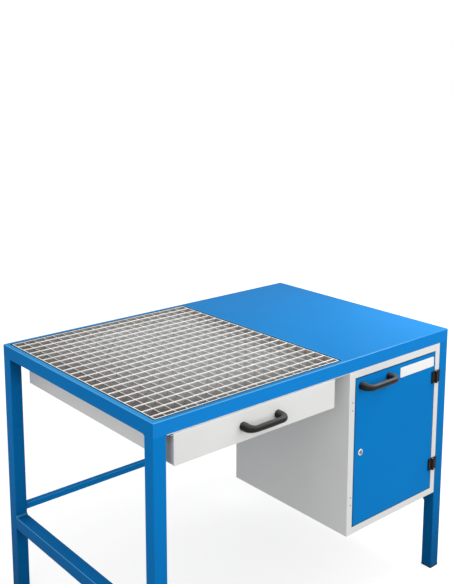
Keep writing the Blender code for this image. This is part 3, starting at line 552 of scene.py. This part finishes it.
def moulded_plastic(name, colour):
    """Spark-eroded grain on black nylon: pits under half a millimetre, and a painted highlight
    that makes the upper side paler."""
    nodes = Nodes(bpy.data.materials.new(name))
    grain = nodes.noise(1100.0, 3.0, 0.7)
    cloud = nodes.spread(nodes.noise(60.0, 3.0), 0.35, 0.7)
    tone = nodes.mixed(cloud, shade(colour, 0.8), shade(colour, 1.35))
    # Painted highlight: faces that look up made paler.
    tone = nodes.mixed(nodes.upward(0.4, 1.0), tone, shade(colour, 9.0))
    rough = nodes.spread(grain, 0.3, 0.7, 0.3, 0.42)
    pits = nodes.bump(grain, 0.00008)
    return nodes.finish(
        {"Base Color": tone, "Roughness": rough, "Normal": pits, "Specular IOR Level": 0.14}
    )


def plated_metal(name, colour, roughness, grain):
    """Bright plating with faint lines from its grinding and a slight haze."""
    nodes = Nodes(bpy.data.materials.new(name))
    haze = nodes.spread(nodes.noise(45.0, 3.0), 0.35, 0.7)
    tone = nodes.mixed(haze, shade(colour, 0.86), shade(colour, 1.04))
    inputs = {"Vector": nodes.coordinate("Object"), "Scale": (1.0, 1.0, 9.0)}
    stretched = nodes.add("ShaderNodeMapping", inputs).outputs["Vector"]
    lines = nodes.noise(grain, 2.0, 0.5, stretched)
    rough = nodes.spread(lines, 0.3, 0.7, roughness - 0.05, roughness + 0.08)
    cuts = nodes.bump(lines, 0.00002)
    return nodes.finish({"Base Color": tone, "Roughness": rough, "Normal": cuts, "Metallic": 1.0})


def finishes():
    """The table's materials by the name of their finish, made once and then found again."""
    colours = bpy.context.scene.table_finishes
    blue = (powder_coat, colours.blue_paint, 0.34, 0.00006, 0.01)
    grey = (powder_coat, colours.grey_paint, 0.42, 0.00005, 0.2)
    makers = {
        "blue_paint": blue,
        "leg_paint": (*blue, 0.012, leg_occlusion_shade),
        "top_paint": (*blue, 0.012, top_painted_light),
        "door_paint": (*blue, 0.012, door_gap_shade),
        "grey_paint": grey,
        # Little painted shade in the front's gaps; the tray's grey is a lighter copy, painted
        # light, with painted shade that reaches further into its gaps.
        "front_paint": (*grey, 0.001),
        "tray_paint": (powder_coat, shade(colours.grey_paint, 1.08), *grey[2:], 0.036),
        "galvanised_steel": (hot_dip_zinc, colours.galvanised_steel, 0.0034),
        "galvanised_border": (hot_dip_zinc, colours.galvanised_steel, 0.0010, True),
        "black_plastic": (moulded_plastic, colours.black_plastic),
        "hinge_black": (powder_coat, colours.hinge_black, 0.4, 0.00004, 0.1),
        "zinc_plate": (plated_metal, colours.zinc_plate, 0.3, 260.0),
        "chrome_plate": (plated_metal, colours.chrome_plate, 0.22, 380.0),
        "barrel_plate": (plated_metal, shade(colours.chrome_plate, 0.3), 0.25, 380.0),
        "white_plate": (powder_coat, colours.white_plate, 0.3, 0.00003),
    }
    made = {}
    for name, (maker, *values) in makers.items():
        full_name = name + "_finish"
        made[name] = bpy.data.materials.get(full_name) or maker(full_name, *values)
    return made


# What a user may change


def tint(name, text, default):
    kind = {"size": 3, "min": 0, "max": 1, "subtype": "COLOR"}
    return FloatVectorProperty(name=name, description=text, default=default, **kind)


def metres(name, text, default):
    kind = {"min": 0, "precision": 4, "subtype": "DISTANCE", "unit": "LENGTH"}
    return FloatProperty(name=name, description=text, default=default, **kind)


def watts(name, text, default):
    return FloatProperty(name=name, description=text, default=default, unit="POWER")


def number(name, text, default, **limits):
    return FloatProperty(name=name, description=text, default=default, **limits)


class TableFinishes(bpy.types.PropertyGroup):
    """Colours of the table's finishes."""

    blue_paint: tint("Blue paint", "Coat of the frame, the top and the door", (0.004, 0.214, 0.61))
    grey_paint: tint("Grey paint", "Coat of the drawer and the locker", (0.80, 0.80, 0.79))
    galvanised_steel: tint("Galvanised steel", "Zinc of the grating", (0.80, 0.80, 0.79))
    black_plastic: tint("Black plastic", "Moulded handles and caps", (0.0085, 0.008, 0.0078))
    hinge_black: tint("Hinge black", "Coat of the hinges", (0.012, 0.01, 0.009))
    zinc_plate: tint("Zinc plate", "Bolts, pins, cam and nuts", (0.62, 0.62, 0.6))
    chrome_plate: tint("Chrome plate", "Face of the lock", (0.62, 0.62, 0.62))
    white_plate: tint("White plate", "Bare plate on the door", (0.93, 0.93, 0.93))


class TableDetails(bpy.types.PropertyGroup):
    """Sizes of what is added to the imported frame."""

    weld_size: metres("Weld size", "Side of the fillet welds at the legs", 0.005)
    stringer_weld: metres("Stringer weld", "Side of the weld round the stringer", 0.0035)
    leg_corner: metres("Leg corner", "Outer corner radius of the 40 mm tubes", 0.003)
    leg_wall: metres("Leg wall", "Wall of the 40 mm tubes", 0.002)
    stringer_corner: metres("Stringer corner", "Outer corner radius of the stringer", 0.0015)
    stringer_wall: metres("Stringer wall", "Wall of the rear stringer", 0.0015)
    rail_corner: metres("Rail corner", "Outer corner radius of the cross rail", 0.002)
    bend_radius: metres("Bend radius", "Inside radius of the folded sheets", 0.0012)
    bar_thickness: metres("Bar thickness", "Bearing bars and border", 0.003)
    bar_pitch: metres("Bar pitch", "Spacing of the bearing bars", 0.0392)
    first_bar: metres("First bar", "Middle of the first bar from the edge", 0.0245)
    border_inset: metres("Border inset", "Border inside the grating's edge", 0.0028)
    rod_width: metres("Cross bar width", "Thickness of the cross bars", 0.0017)
    rod_height: metres("Cross bar height", "Depth of the cross bars", 0.008)
    rod_drop: metres("Cross bar drop", "Cross bars below the bars' tops", 0.0016)
    rod_pitch: metres("Cross bar pitch", "Spacing of the cross bars", 0.0350)
    first_rod: metres("First cross bar", "Middle of the first from the edge", 0.0415)
    runner_lip: metres("Runner lip", "Width of the runners' lower lip", 0.009)
    screw_spacing: metres("Screw spacing", "Between a hinge leaf's screws", 0.025)
    spare_inset: metres("Spare hole inset", "From the locker's left side", 0.0145)
    handle_spacing: metres("Handle spacing", "Between the handle's feet", 0.128)
    handle_bend: metres("Handle bend", "Radius of the handle's bends", 0.020)
    grip_radius: metres("Grip radius", "Radius of the handle's grip", 0.0095)
    foot_radius: metres("Foot radius", "Radius of the handle's feet", 0.0125)
    plate_length: metres("Plate length", "Bare plate on the door", 0.172)
    plate_height: metres("Plate height", "Bare plate on the door", 0.033)
    plate_inset: metres("Plate inset", "From the door's hinge edge", 0.0067)
    plate_drop: metres("Plate drop", "From the door's top edge", 0.0147)
    handle_sides: IntProperty(
        name="Handle sides", description="Faces round the grip", default=32, min=8, max=96
    )


class TableStage(bpy.types.PropertyGroup):
    """The floor, the light and the camera."""

    floor_colour: tint("Floor", "Colour of the floor", (0.4, 0.4, 0.4))
    floor_reach: metres("Floor reach", "Half the side of the floor", 30.0)
    floor_lift: number("Floor lift", "Light that the far floor adds for the camera", 0.9)
    near_lift: number("Near lift", "Light that the floor adds under the table", 0.68)
    shadow_reach: metres("Shadow reach", "Where the far floor begins", 2.6)
    world_level: number("World level", "Strength of the light from all round", 0.5)
    key_power: watts("Key lamp", "Power of the large lamp", 22.0)
    corner_power: watts("Corner lamp", "Power of the lamp over the top's corner", 9.0)
    left_power: watts("Left lamp", "Power of the lamp over the grating", 5.0)
    sheen_power: watts("Sheen lamp", "Power of the lamp mirrored in the top", 3.0)
    fill_power: watts("Fill lamp", "Power of the front lamp", 13.0)
    side_power: watts("Side lamp", "Power of the lamp far out at the left", 36.0)
    camera_place: FloatVectorProperty(
        name="Camera place",
        description="Where the camera stands",
        default=(-1.77641, -2.03393, 1.72480),
        subtype="TRANSLATION",
        unit="LENGTH",
    )
    camera_turn: FloatVectorProperty(
        name="Camera turn",
        description="The camera's rotation",
        default=tuple(math.radians(angle) for angle in (80.36267, -0.07985, -40.36616)),
        subtype="EULER",
        unit="ROTATION",
    )
    lens: number("Lens", "Focal length in millimetres", 54.129, min=1)
    lens_shift: number("Lens shift", "Upright shift of the lens", -0.14134)


# Operators


class TABLE_OT_worktop(bpy.types.Operator):
    """Dresses the folded top and the stiffeners under it"""

    bl_idname = "table.worktop"
    bl_label = "Worktop"

    def execute(self, context):
        details = context.scene.table_details
        merged_copy("worktop", "folded", "frame", "top_paint")
        tube = square_tube(*box_of("cross_rail"), 1, details.leg_wall, details.rail_corner)
        dressed("cross_rail", "tube", tube, "frame", "blue_paint")
        channel = [(0, 1), (0, 0), (1, 0), (1, 1)]
        for side in ("left", "right"):
            node = f"worktop_rib_{side}"
            shape = bent_sheet(node, channel, CHANNEL, details.bend_radius)
            dressed(node, "channel", shape, "frame", "blue_paint")
        seat = [(0, 1), (0, 0), (1, 0)]
        for end, axis, mirrored in (
            ("front", 0, False),
            ("back", 0, True),
            ("left", 1, False),
            ("right", 1, True),
        ):
            node = f"ledge_{end}"
            shape = bent_sheet(node, seat, ANGLE, details.bend_radius, axis, mirrored)
            dressed(node, "angle", shape, "frame", "blue_paint")
        bar = slab(*box_of("locker_hanger_bar"), BAR_EDGE)
        piece("locker_hanger_flat", [bar], "frame", "blue_paint", ["locker_hanger_bar"])
        return {"FINISHED"}


class TABLE_OT_legs(bpy.types.Operator):
    """Dresses the legs, the lower rails, their welds and the foot caps"""

    bl_idname = "table.legs"
    bl_label = "Legs and rails"

    def execute(self, context):
        details = context.scene.table_details
        wall, corner = details.leg_wall, details.leg_corner
        rim_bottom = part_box("worktop")[0][2]
        welds = []
        for row, inward in (("front", 1), ("back", -1)):
            for end, across in (("left", 1), ("right", -1)):
                node = f"leg_{row}_{end}"
                low, high = box_of(node)
                high[2] = rim_bottom
                tube = square_tube(low, high, 2, wall, corner)
                dressed(node, "tube", tube, "frame", "leg_paint")
                welds += self.leg_welds(low, high, across, inward, node, details.weld_size)
                merged_copy(f"foot_cap_{row}_{end}", "moulded", "frame", "black_plastic")
        for end in ("left", "right"):
            node = f"side_rail_{end}"
            low, high = self.grown(node, 1)
            tube = square_tube(low, high, 1, wall, corner)
            dressed(node, "tube", tube, "frame", "leg_paint")
            welds += self.rail_welds(low, high, details.weld_size)
        low, high = self.grown("rear_stringer", 0)
        wall, corner = details.stringer_wall, details.stringer_corner
        tube = square_tube(low, high, 0, wall, corner)
        dressed("rear_stringer", "tube", tube, "frame", "blue_paint")
        for start, way in ((low[0], 1), (high[0], -1)):
            welds.append(self.ring_weld(low, high, start, way, corner, details.stringer_weld))
        piece("frame_welds", welds, "frame", "leg_paint", sharp=60)
        return {"FINISHED"}

    def grown(self, node, axis):
        """A node's box with the seams at its two ends closed."""
        low, high = box_of(node)
        low[axis], high[axis] = low[axis] - SEAM, high[axis] + SEAM
        return low, high

    def leg_welds(self, low, high, across, inward, node, size):
        """The welds of a leg to the rim: one on each of its inner faces, apart from the face
        that the locker stands against."""
        top = high[2]
        inner_x = high[0] if across > 0 else low[0]
        inner_y = high[1] if inward > 0 else low[1]
        ends = (low[0], inner_y, top), (high[0], inner_y, top)
        beads = [weld_bead(*ends, (0, inward, 0), -UP, size)]
        if node != "leg_front_right":
            ends = (inner_x, low[1], top), (inner_x, high[1], top)
            beads.append(weld_bead(*ends, (across, 0, 0), -UP, size))
        return beads

    def rail_welds(self, low, high, size):
        """The welds over and under a rail at both of its ends."""
        beads = []
        for level, way in ((high[2], 1), (low[2], -1)):
            for end, toward in ((low[1], 1), (high[1], -1)):
                ends = (low[0], end, level), (high[0], end, level)
                beads.append(weld_bead(*ends, (0, toward, 0), way * UP, size))
        return beads

    def ring_weld(self, low, high, start, way, corner, size):
        """A weld round the stringer: its triangular section, carried round the tube's
        rounded square, with its foot on the leg."""
        middle, half = (low + high) / 2, (high - low) / 2
        rings = []
        for out, over in ((0.0, 0.0), (size, 0.0), (size * 0.35, size * 0.35), (0.0, size)):
            outline = rounded_rectangle(half[1] + out, half[2] + out, corner + out)
            rings.append(placed(middle[1:] + outline, 0, start + way * over))
        return skin(rings, loop=True)


class TABLE_OT_grating(bpy.types.Operator):
    """Builds the grating from its bearing bars, cross bars, welded crossings and border"""

    bl_idname = "table.grating"
    bl_label = "Grating"

    def execute(self, context):
        details = context.scene.table_details
        low, high = box_of("grating")
        top, wall, inset = high[2] - SEAM, details.bar_thickness, details.border_inset
        half, thin = wall / 2, details.rod_width / 2
        start, end = low + (inset + half), high - (inset + half)
        across = low[1] + self.places(details.first_bar, details.bar_pitch, high[1] - low[1])
        along = low[0] + self.places(details.first_rod, details.rod_pitch, high[0] - low[0])
        bottom, crest = top - details.rod_height, top - details.rod_drop
        bars, bar_edge, rod_edge = [], 0.0004, 0.0003
        for y in across:
            ends = (start[0], y - half, low[2]), (end[0], y + half, top)
            bars.append(slab(*ends, bar_edge, 1))
        for x in along:
            ends = (x - thin, start[1], bottom), (x + thin, end[1], crest)
            bars.append(slab(*ends, rod_edge, 1))
        bars += self.crossings(across, along, top)
        for name, shapes, finish in (
            ("grating_border", [self.border(low, high, top, wall, inset)], "galvanised_border"),
            ("grating_bars", bars, "galvanised_steel"),
        ):
            piece(name, shapes, "grating", finish, ["grating"], sharp=50)
        return {"FINISHED"}

    def places(self, first, pitch, length):
        """As many places as fit in a length, a pitch apart."""
        count = int((length - first - pitch / 2) / pitch) + 1
        return first + pitch * np.arange(count)

    def border(self, low, high, top, wall, inset):
        """The border bar: a slim upright section with its upper edges rounded, carried round
        the rectangle, each corner's ring standing on the corner's diagonal."""
        edge, inner = BAR_EDGE, inset + wall
        section = [(inset, low[2]), (inset, top - edge), (inset + edge, top)]
        section += [(inner - edge, top), (inner, top - edge), (inner, low[2])]
        inward, height = np.array(section).T
        near, far = low[:2, None] + inward, high[:2, None] - inward
        corners = (near[0], near[1]), (far[0], near[1]), (far[0], far[1]), (near[0], far[1])
        return skin([np.stack([x, y, height], axis=1) for x, y in corners], loop=True)

    def crossings(self, across, along, top):
        """A low boss over each crossing: rings of an ellipse, drawn in as they rise."""
        wide, deep = 0.0032, 0.0021
        turn = np.linspace(0, 2 * math.pi, 10, endpoint=False)
        ellipse = np.stack([wide * np.cos(turn), deep * np.sin(turn)], axis=1)
        steps = (1.0, -0.0012), (1.0, -0.0002), (0.6, 0.00025)
        rings = np.array([placed(share * ellipse, 2, top + rise) for share, rise in steps])
        return [skin(rings + (x, y, 0)) for y in across for x in along]


class TABLE_OT_drawer(bpy.types.Operator):
    """Dresses the drawer's tray and front, and the ties and channels that carry it"""

    bl_idname = "table.drawer"
    bl_label = "Drawer"

    def execute(self, context):
        details = context.scene.table_details
        for row in ("front", "back"):
            node = f"drawer_tie_{row}"
            dressed(node, "flat", slab(*box_of(node), BAR_EDGE), "frame", "grey_paint")
        tight_bend = 0.0004
        for end in ("left", "right"):
            node = f"drawer_runner_{end}"
            low, high = box_of(node)
            lip = details.runner_lip / (high[0] - low[0])
            channel = [(1, 1), (0, 1), (0, 0), (lip, 0)]
            shape = bent_sheet(node, channel, CHANNEL, tight_bend, mirrored=end == "right")
            dressed(node, "channel", shape, "frame", "grey_paint")
        self.tray()
        front = [(0, 0), (0, 1), (1, 1)]
        shape = bent_sheet("drawer_front", front, SHEET, details.bend_radius, 0)
        dressed("drawer_front", "folded", shape, "drawer", "front_paint")
        return {"FINISHED"}

    def tray(self):
        """The tray: one sheet bent down at both sides of the floor and out at the flanges,
        and a wall across each end."""
        low, high = box_of("drawer_side_left")
        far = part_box("drawer_side_right")[1][0]
        (inner, _, floor), (outer, _, _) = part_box("drawer_bottom")
        half, tight_bend, wall_edge = SHEET / 2, 0.0005, 0.0004
        corners = [
            (low[0], high[2] - half),
            (inner + half, high[2] - half),
            (inner + half, floor + half),
            (outer - half, floor + half),
            (outer - half, high[2] - half),
            (far, high[2] - half),
        ]
        shapes = [folded(corners, SHEET, tight_bend, 1, low, high)]
        for row in ("front", "back"):
            low, high = box_of(f"drawer_wall_{row}")
            shapes.append(slab(low - (SEAM, 0, SEAM), high + (SEAM, 0, 0), wall_edge, 1))
        nodes = ["drawer_bottom", "drawer_side_left", "drawer_side_right"]
        nodes += ["drawer_wall_front", "drawer_wall_back"]
        piece("drawer_tray_folded", shapes, "drawer", "tray_paint", nodes)


class TABLE_OT_handles(bpy.types.Operator):
    """Builds the bow handles of the drawer and the door"""

    bl_idname = "table.handles"
    bl_label = "Handles"

    def execute(self, context):
        details = context.scene.table_details
        for body in ("drawer", "door"):
            node = f"{body}_handle"
            bow = self.bow(*box_of(node), details)
            dressed(node, "bow", bow, body, "black_plastic", sharp=50)
            for side in ("left", "right"):
                merged_copy(f"{node}_bolt_{side}", "turned", body, "zinc_plate")
        return {"FINISHED"}

    def bow(self, low, high, details):
        """A round bar on a path of a straight, a quarter turn, a straight, a quarter turn and
        a straight. At way s its middle is m(s) and its ring m(s) + r(s) (cos a n(s) +
        sin a z), where n is square to the path. The radius r keeps the foot's size through
        most of the straight, then it falls to the grip's and swells a little midway."""
        half, bend = details.handle_spacing / 2, details.handle_bend
        grip, foot = details.grip_radius, details.foot_radius
        rise = high[1] - low[1] - grip - bend
        quarter = bend * math.pi / 2
        flat = half - bend
        near = np.concatenate(
            [
                [0.0, 0.0004, 0.0014],
                np.linspace(0.0022, rise, 12),
                np.linspace(rise, rise + quarter, 15)[1:],
                np.linspace(rise + quarter, rise + quarter + flat, 9)[1:],
            ]
        )
        turn = np.clip((near - rise) / bend, 0, math.pi / 2)
        x = -half + bend * (1 - np.cos(turn)) + np.clip(near - rise - quarter, 0, None)
        y = np.minimum(near, rise) + bend * np.sin(turn)
        fall = smooth_step((near - rise * 0.6) / (rise * 0.4 + quarter))
        radius = foot + (grip * 0.95 - foot) * fall
        radius += grip * 0.05 * smooth_step((near - rise - quarter) / flat)
        chamfer = 0.0006
        radius[0] -= chamfer
        x = np.concatenate([x, -x[-2::-1]])[:, None]
        y = np.concatenate([y, y[-2::-1]])[:, None]
        turn = np.concatenate([turn, math.pi - turn[-2::-1]])[:, None]
        radius = np.concatenate([radius, radius[-2::-1]])[:, None]
        angle = np.linspace(0, 2 * math.pi, details.handle_sides, endpoint=False)
        wide, tall = radius * np.cos(angle), radius * np.sin(angle)
        middle = (low + high) / 2
        across = middle[0] + x - np.cos(turn) * wide
        outward = high[1] - y - np.sin(turn) * wide
        return skin(np.stack([across, outward, middle[2] + tall], axis=-1))


class TABLE_OT_locker(bpy.types.Operator):
    """Dresses the locker's shell, back and shelf"""

    bl_idname = "table.locker"
    bl_label = "Locker"

    def execute(self, context):
        details = context.scene.table_details
        merged_copy("locker_shell", "folded", "frame", "grey_paint")
        refinish("locker_back", "grey_paint")
        shelf = [(0, 0), (0, 1), (1, 1), (1, 0)]
        shape = bent_sheet("locker_shelf", shelf, SHEET, details.bend_radius, 0)
        dressed("locker_shelf", "folded", shape, "frame", "grey_paint")
        self.spare_nuts(details)
        seat, tight_bend = [(1, 1), (0, 1), (0, 0)], 0.0008
        for side in ("left", "right"):
            node = f"shelf_bracket_{side}"
            shape = bent_sheet(node, seat, SHEET, tight_bend, mirrored=side == "right")
            dressed(node, "angle", shape, "frame", "grey_paint")
        return {"FINISHED"}

    def spare_nuts(self, details):
        """A blind nut in each spare hinge hole, black where zinc would be, to stand for the shade
        inside the hole: a thread's bore closed at its far end, drawn as a profile turned about the
        hole's axis."""
        left, front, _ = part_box("locker_shell")[0]
        outer, bore, depth, sunk = 0.0019, 0.0013, 0.007, 0.0003
        tip, bottom = bore * 0.05, depth * 0.8
        profile = [(tip, depth), (outer, depth), (outer, sunk)]
        profile += [(bore, sunk), (bore, bottom), (tip, bottom)]
        nuts = []
        for row in ("upper", "lower"):
            leaf_low, leaf_high = box_of(f"hinge_{row}_locker_leaf")
            for step in (-0.5, 0.5):
                level = (leaf_low[2] + leaf_high[2]) / 2 + step * details.screw_spacing
                nuts.append(turned(profile, (left + details.spare_inset, front, level), 20))
        # Black stands for the painted shade in the spare holes.
        piece("locker_spare_nuts", nuts, "frame", "hinge_black", slot="zinc_plate")


class TABLE_OT_door(bpy.types.Operator):
    """Dresses the door and puts the bare plate on it"""

    bl_idname = "table.door"
    bl_label = "Door"

    def execute(self, context):
        merged_copy("door_panel", "folded", "door", "door_paint", name="door_folded")
        plate = self.plate(*box_of("door_panel"), context.scene.table_details)
        piece("door_bare_plate", [plate], "door", "white_plate", sharp=30)
        return {"FINISHED"}

    def plate(self, low, high, details):
        """A thin rounded rectangle on the door: three rings, the last drawn in at its edge."""
        half = np.array((details.plate_length, details.plate_height)) / 2
        middle = np.array((high[0] - details.plate_inset, high[2] - details.plate_drop)) - half
        corner, rings = 0.004, []
        for inset, out in ((0.0, 0.0), (0.0, 0.0006), (0.0004, 0.001)):
            outline = rounded_rectangle(*(half - inset), corner - inset)
            rings.append(placed(middle + outline, 1, low[1] - out))
        return skin(rings)


class TABLE_OT_hinges(bpy.types.Operator):
    """Dresses the hinges and adds their screws"""

    bl_idname = "table.hinges"
    bl_label = "Hinges"

    def execute(self, context):
        spacing = context.scene.table_details.screw_spacing
        for row in ("upper", "lower"):
            pin = f"hinge_{row}_pin"
            for leaf, body in (("locker", "frame"), ("door", "door")):
                node = f"hinge_{row}_{leaf}_leaf"
                merged_copy(node, "cast", body, "hinge_black")
                heads = self.screws(*box_of(node), box_of(pin), leaf == "door", spacing)
                piece(node + "_screws", heads, body, "hinge_black", sharp=50)
            merged_copy(pin, "turned", "frame", "zinc_plate")
        return {"FINISHED"}

    def screws(self, low, high, pin, from_low, spacing):
        """Two domed screw heads on a leaf, half the hole spacing above and below its
        middle, and a little in from its outer edge."""
        inset, face, radius, dome = 0.0068, 0.0005, 0.0036, 0.0011
        x = low[0] + inset if from_low else high[0] - inset
        y = (pin[0][1] + pin[1][1]) / 2 + face
        levels = (low[2] + high[2]) / 2 + np.array((-spacing, spacing)) / 2
        return [cross_head((x, y, level), radius, dome) for level in levels]


class TABLE_OT_lock(bpy.types.Operator):
    """Dresses the cam lock"""

    bl_idname = "table.lock"
    bl_label = "Lock"

    def execute(self, context):
        ring = self.ring(*box_of("lock_housing"))
        piece("lock_ring", [ring], "door", "chrome_plate", ["lock_housing"], sharp=45)
        merged_copy("lock_nut", "cut", "door", "zinc_plate")
        merged_copy("lock_barrel", "turned", "lock", "barrel_plate")
        merged_copy("lock_cam", "cut", "lock", "zinc_plate")
        merged_copy("lock_cam_nut", "cut", "lock", "zinc_plate")
        return {"FINISHED"}

    def ring(self, low, high):
        """The housing: a collar whose rim is rounded off to the door, with a neck behind it,
        drawn as a profile turned about the lock's axis."""
        centre = ((low[0] + high[0]) / 2, low[1], (low[2] + high[2]) / 2)
        bore, neck, outer = 0.0062, 0.009, (high[0] - low[0]) / 2
        collar, depth = 0.0020, high[1] - low[1]
        profile = [(bore, 0.0004), (bore + 0.0005, 0.0), (outer - 0.0022, 0.0)]
        profile += [(outer - 0.0009, 0.0003), (outer - 0.0002, 0.0010), (outer, 0.0018)]
        profile += [(outer, collar), (neck, collar), (neck, depth), (bore, depth)]
        return turned(profile, centre, 48)


class TABLE_OT_stage(bpy.types.Operator):
    """Sets up the floor, the light and the camera"""

    bl_idname = "table.stage"
    bl_label = "Stage"

    def execute(self, context):
        stage = context.scene.table_stage
        self.floor(stage)
        self.world(context.scene, stage)
        for name, place, target, size in LAMPS:
            self.lamp(name + "_lamp", place, target, size, getattr(stage, name + "_power"))
        self.camera(context.scene, stage)
        context.scene.view_settings.view_transform = "Standard"
        return {"FINISHED"}

    def seen(self, nodes):
        """1 for rays from the camera and for mirrored and passed rays, else 0."""
        path = nodes.add("ShaderNodeLightPath").outputs
        both = nodes.maths("ADD", path["Is Camera Ray"], path["Is Glossy Ray"])
        return nodes.maths("ADD", both, path["Is Transmission Ray"], clamp=True)

    def floor(self, stage):
        reach = stage.floor_reach
        mesh = bpy.data.meshes.new("floor")
        points = [(-reach, -reach, 0), (reach, -reach, 0), (reach, reach, 0), (-reach, reach, 0)]
        mesh.from_pydata(points, [], [(0, 1, 2, 3)])
        floor = bpy.data.objects.new("floor", mesh)
        bpy.context.scene.collection.objects.link(floor)
        nodes = Nodes(bpy.data.materials.new("studio_floor"))
        cloud = nodes.spread(nodes.noise(1.5), 0.3, 0.7)
        tone = nodes.mixed(cloud, shade(stage.floor_colour, 0.99), shade(stage.floor_colour, 1.0))
        away = nodes.vector_maths("LENGTH", nodes.coordinate("Object"), output="Value")
        far = nodes.spread(away, 0, stage.shadow_reach, stage.near_lift, stage.floor_lift)
        inputs = {"Base Color": tone, "Roughness": 0.9, "Specular IOR Level": 0.1}
        inputs["Emission Color"] = (1, 1, 1, 1)
        inputs["Emission Strength"] = nodes.product(self.seen(nodes), far)
        mesh.materials.append(nodes.finish(inputs))

    def world(self, scene, stage):
        scene.world = bpy.data.worlds.new("studio")
        nodes = Nodes(scene.world)
        level = nodes.spread(self.seen(nodes), 0, 1, stage.world_level)
        inputs = {"Color": (1, 1, 1, 1), "Strength": level}
        nodes.finish(inputs, "ShaderNodeBackground", "ShaderNodeOutputWorld")

    def lamp(self, name, place, target, size, power):
        data = bpy.data.lights.new(name, "AREA")
        data.shape = "SQUARE"
        data.size = size
        data.energy = power
        lamp = bpy.data.objects.new(name, data)
        aim = Vector(target) - Vector(place)
        lamp.location = place
        lamp.rotation_euler = aim.to_track_quat("-Z", "Y").to_euler()
        bpy.context.scene.collection.objects.link(lamp)

    def camera(self, scene, stage):
        data = bpy.data.cameras.new("camera")
        data.sensor_width = 36
        data.lens = stage.lens
        data.shift_y = stage.lens_shift
        data.clip_end = 200
        camera = bpy.data.objects.new("camera", data)
        camera.location = stage.camera_place
        camera.rotation_euler = stage.camera_turn
        scene.collection.objects.link(camera)
        scene.camera = camera


OPERATORS = (
    TABLE_OT_worktop,
    TABLE_OT_legs,
    TABLE_OT_grating,
    TABLE_OT_drawer,
    TABLE_OT_handles,
    TABLE_OT_locker,
    TABLE_OT_door,
    TABLE_OT_hinges,
    TABLE_OT_lock,
    TABLE_OT_stage,
)


class TABLE_PT_panel(bpy.types.Panel):
    """Lists the table's pieces and what can be changed on them"""

    bl_idname = "TABLE_PT_panel"
    bl_label = "Steel work table"
    bl_space_type = "VIEW_3D"
    bl_region_type = "UI"
    bl_category = "Table"

    def draw(self, context):
        layout = self.layout
        for operator in OPERATORS:
            layout.operator(operator.bl_idname)
        scene = context.scene
        for group in (scene.table_finishes, scene.table_details, scene.table_stage):
            box = layout.box()
            for name in group.bl_rna.properties.keys():
                if name not in ("rna_type", "name"):
                    box.prop(group, name)


CLASSES = (TableFinishes, TableDetails, TableStage, *OPERATORS, TABLE_PT_panel)


def register():
    for made in CLASSES:
        bpy.utils.register_class(made)
    bpy.types.Scene.table_finishes = PointerProperty(type=TableFinishes)
    bpy.types.Scene.table_details = PointerProperty(type=TableDetails)
    bpy.types.Scene.table_stage = PointerProperty(type=TableStage)


def unregister():
    del bpy.types.Scene.table_stage
    del bpy.types.Scene.table_details
    del bpy.types.Scene.table_finishes
    for made in reversed(CLASSES):
        bpy.utils.unregister_class(made)


def main():
    register()
    bpy.ops.table.worktop()
    bpy.ops.table.legs()
    bpy.ops.table.grating()
    bpy.ops.table.drawer()
    bpy.ops.table.handles()
    bpy.ops.table.locker()
    bpy.ops.table.door()
    bpy.ops.table.hinges()
    bpy.ops.table.lock()
    bpy.ops.table.stage()


if __name__ == "__main__":
    main()
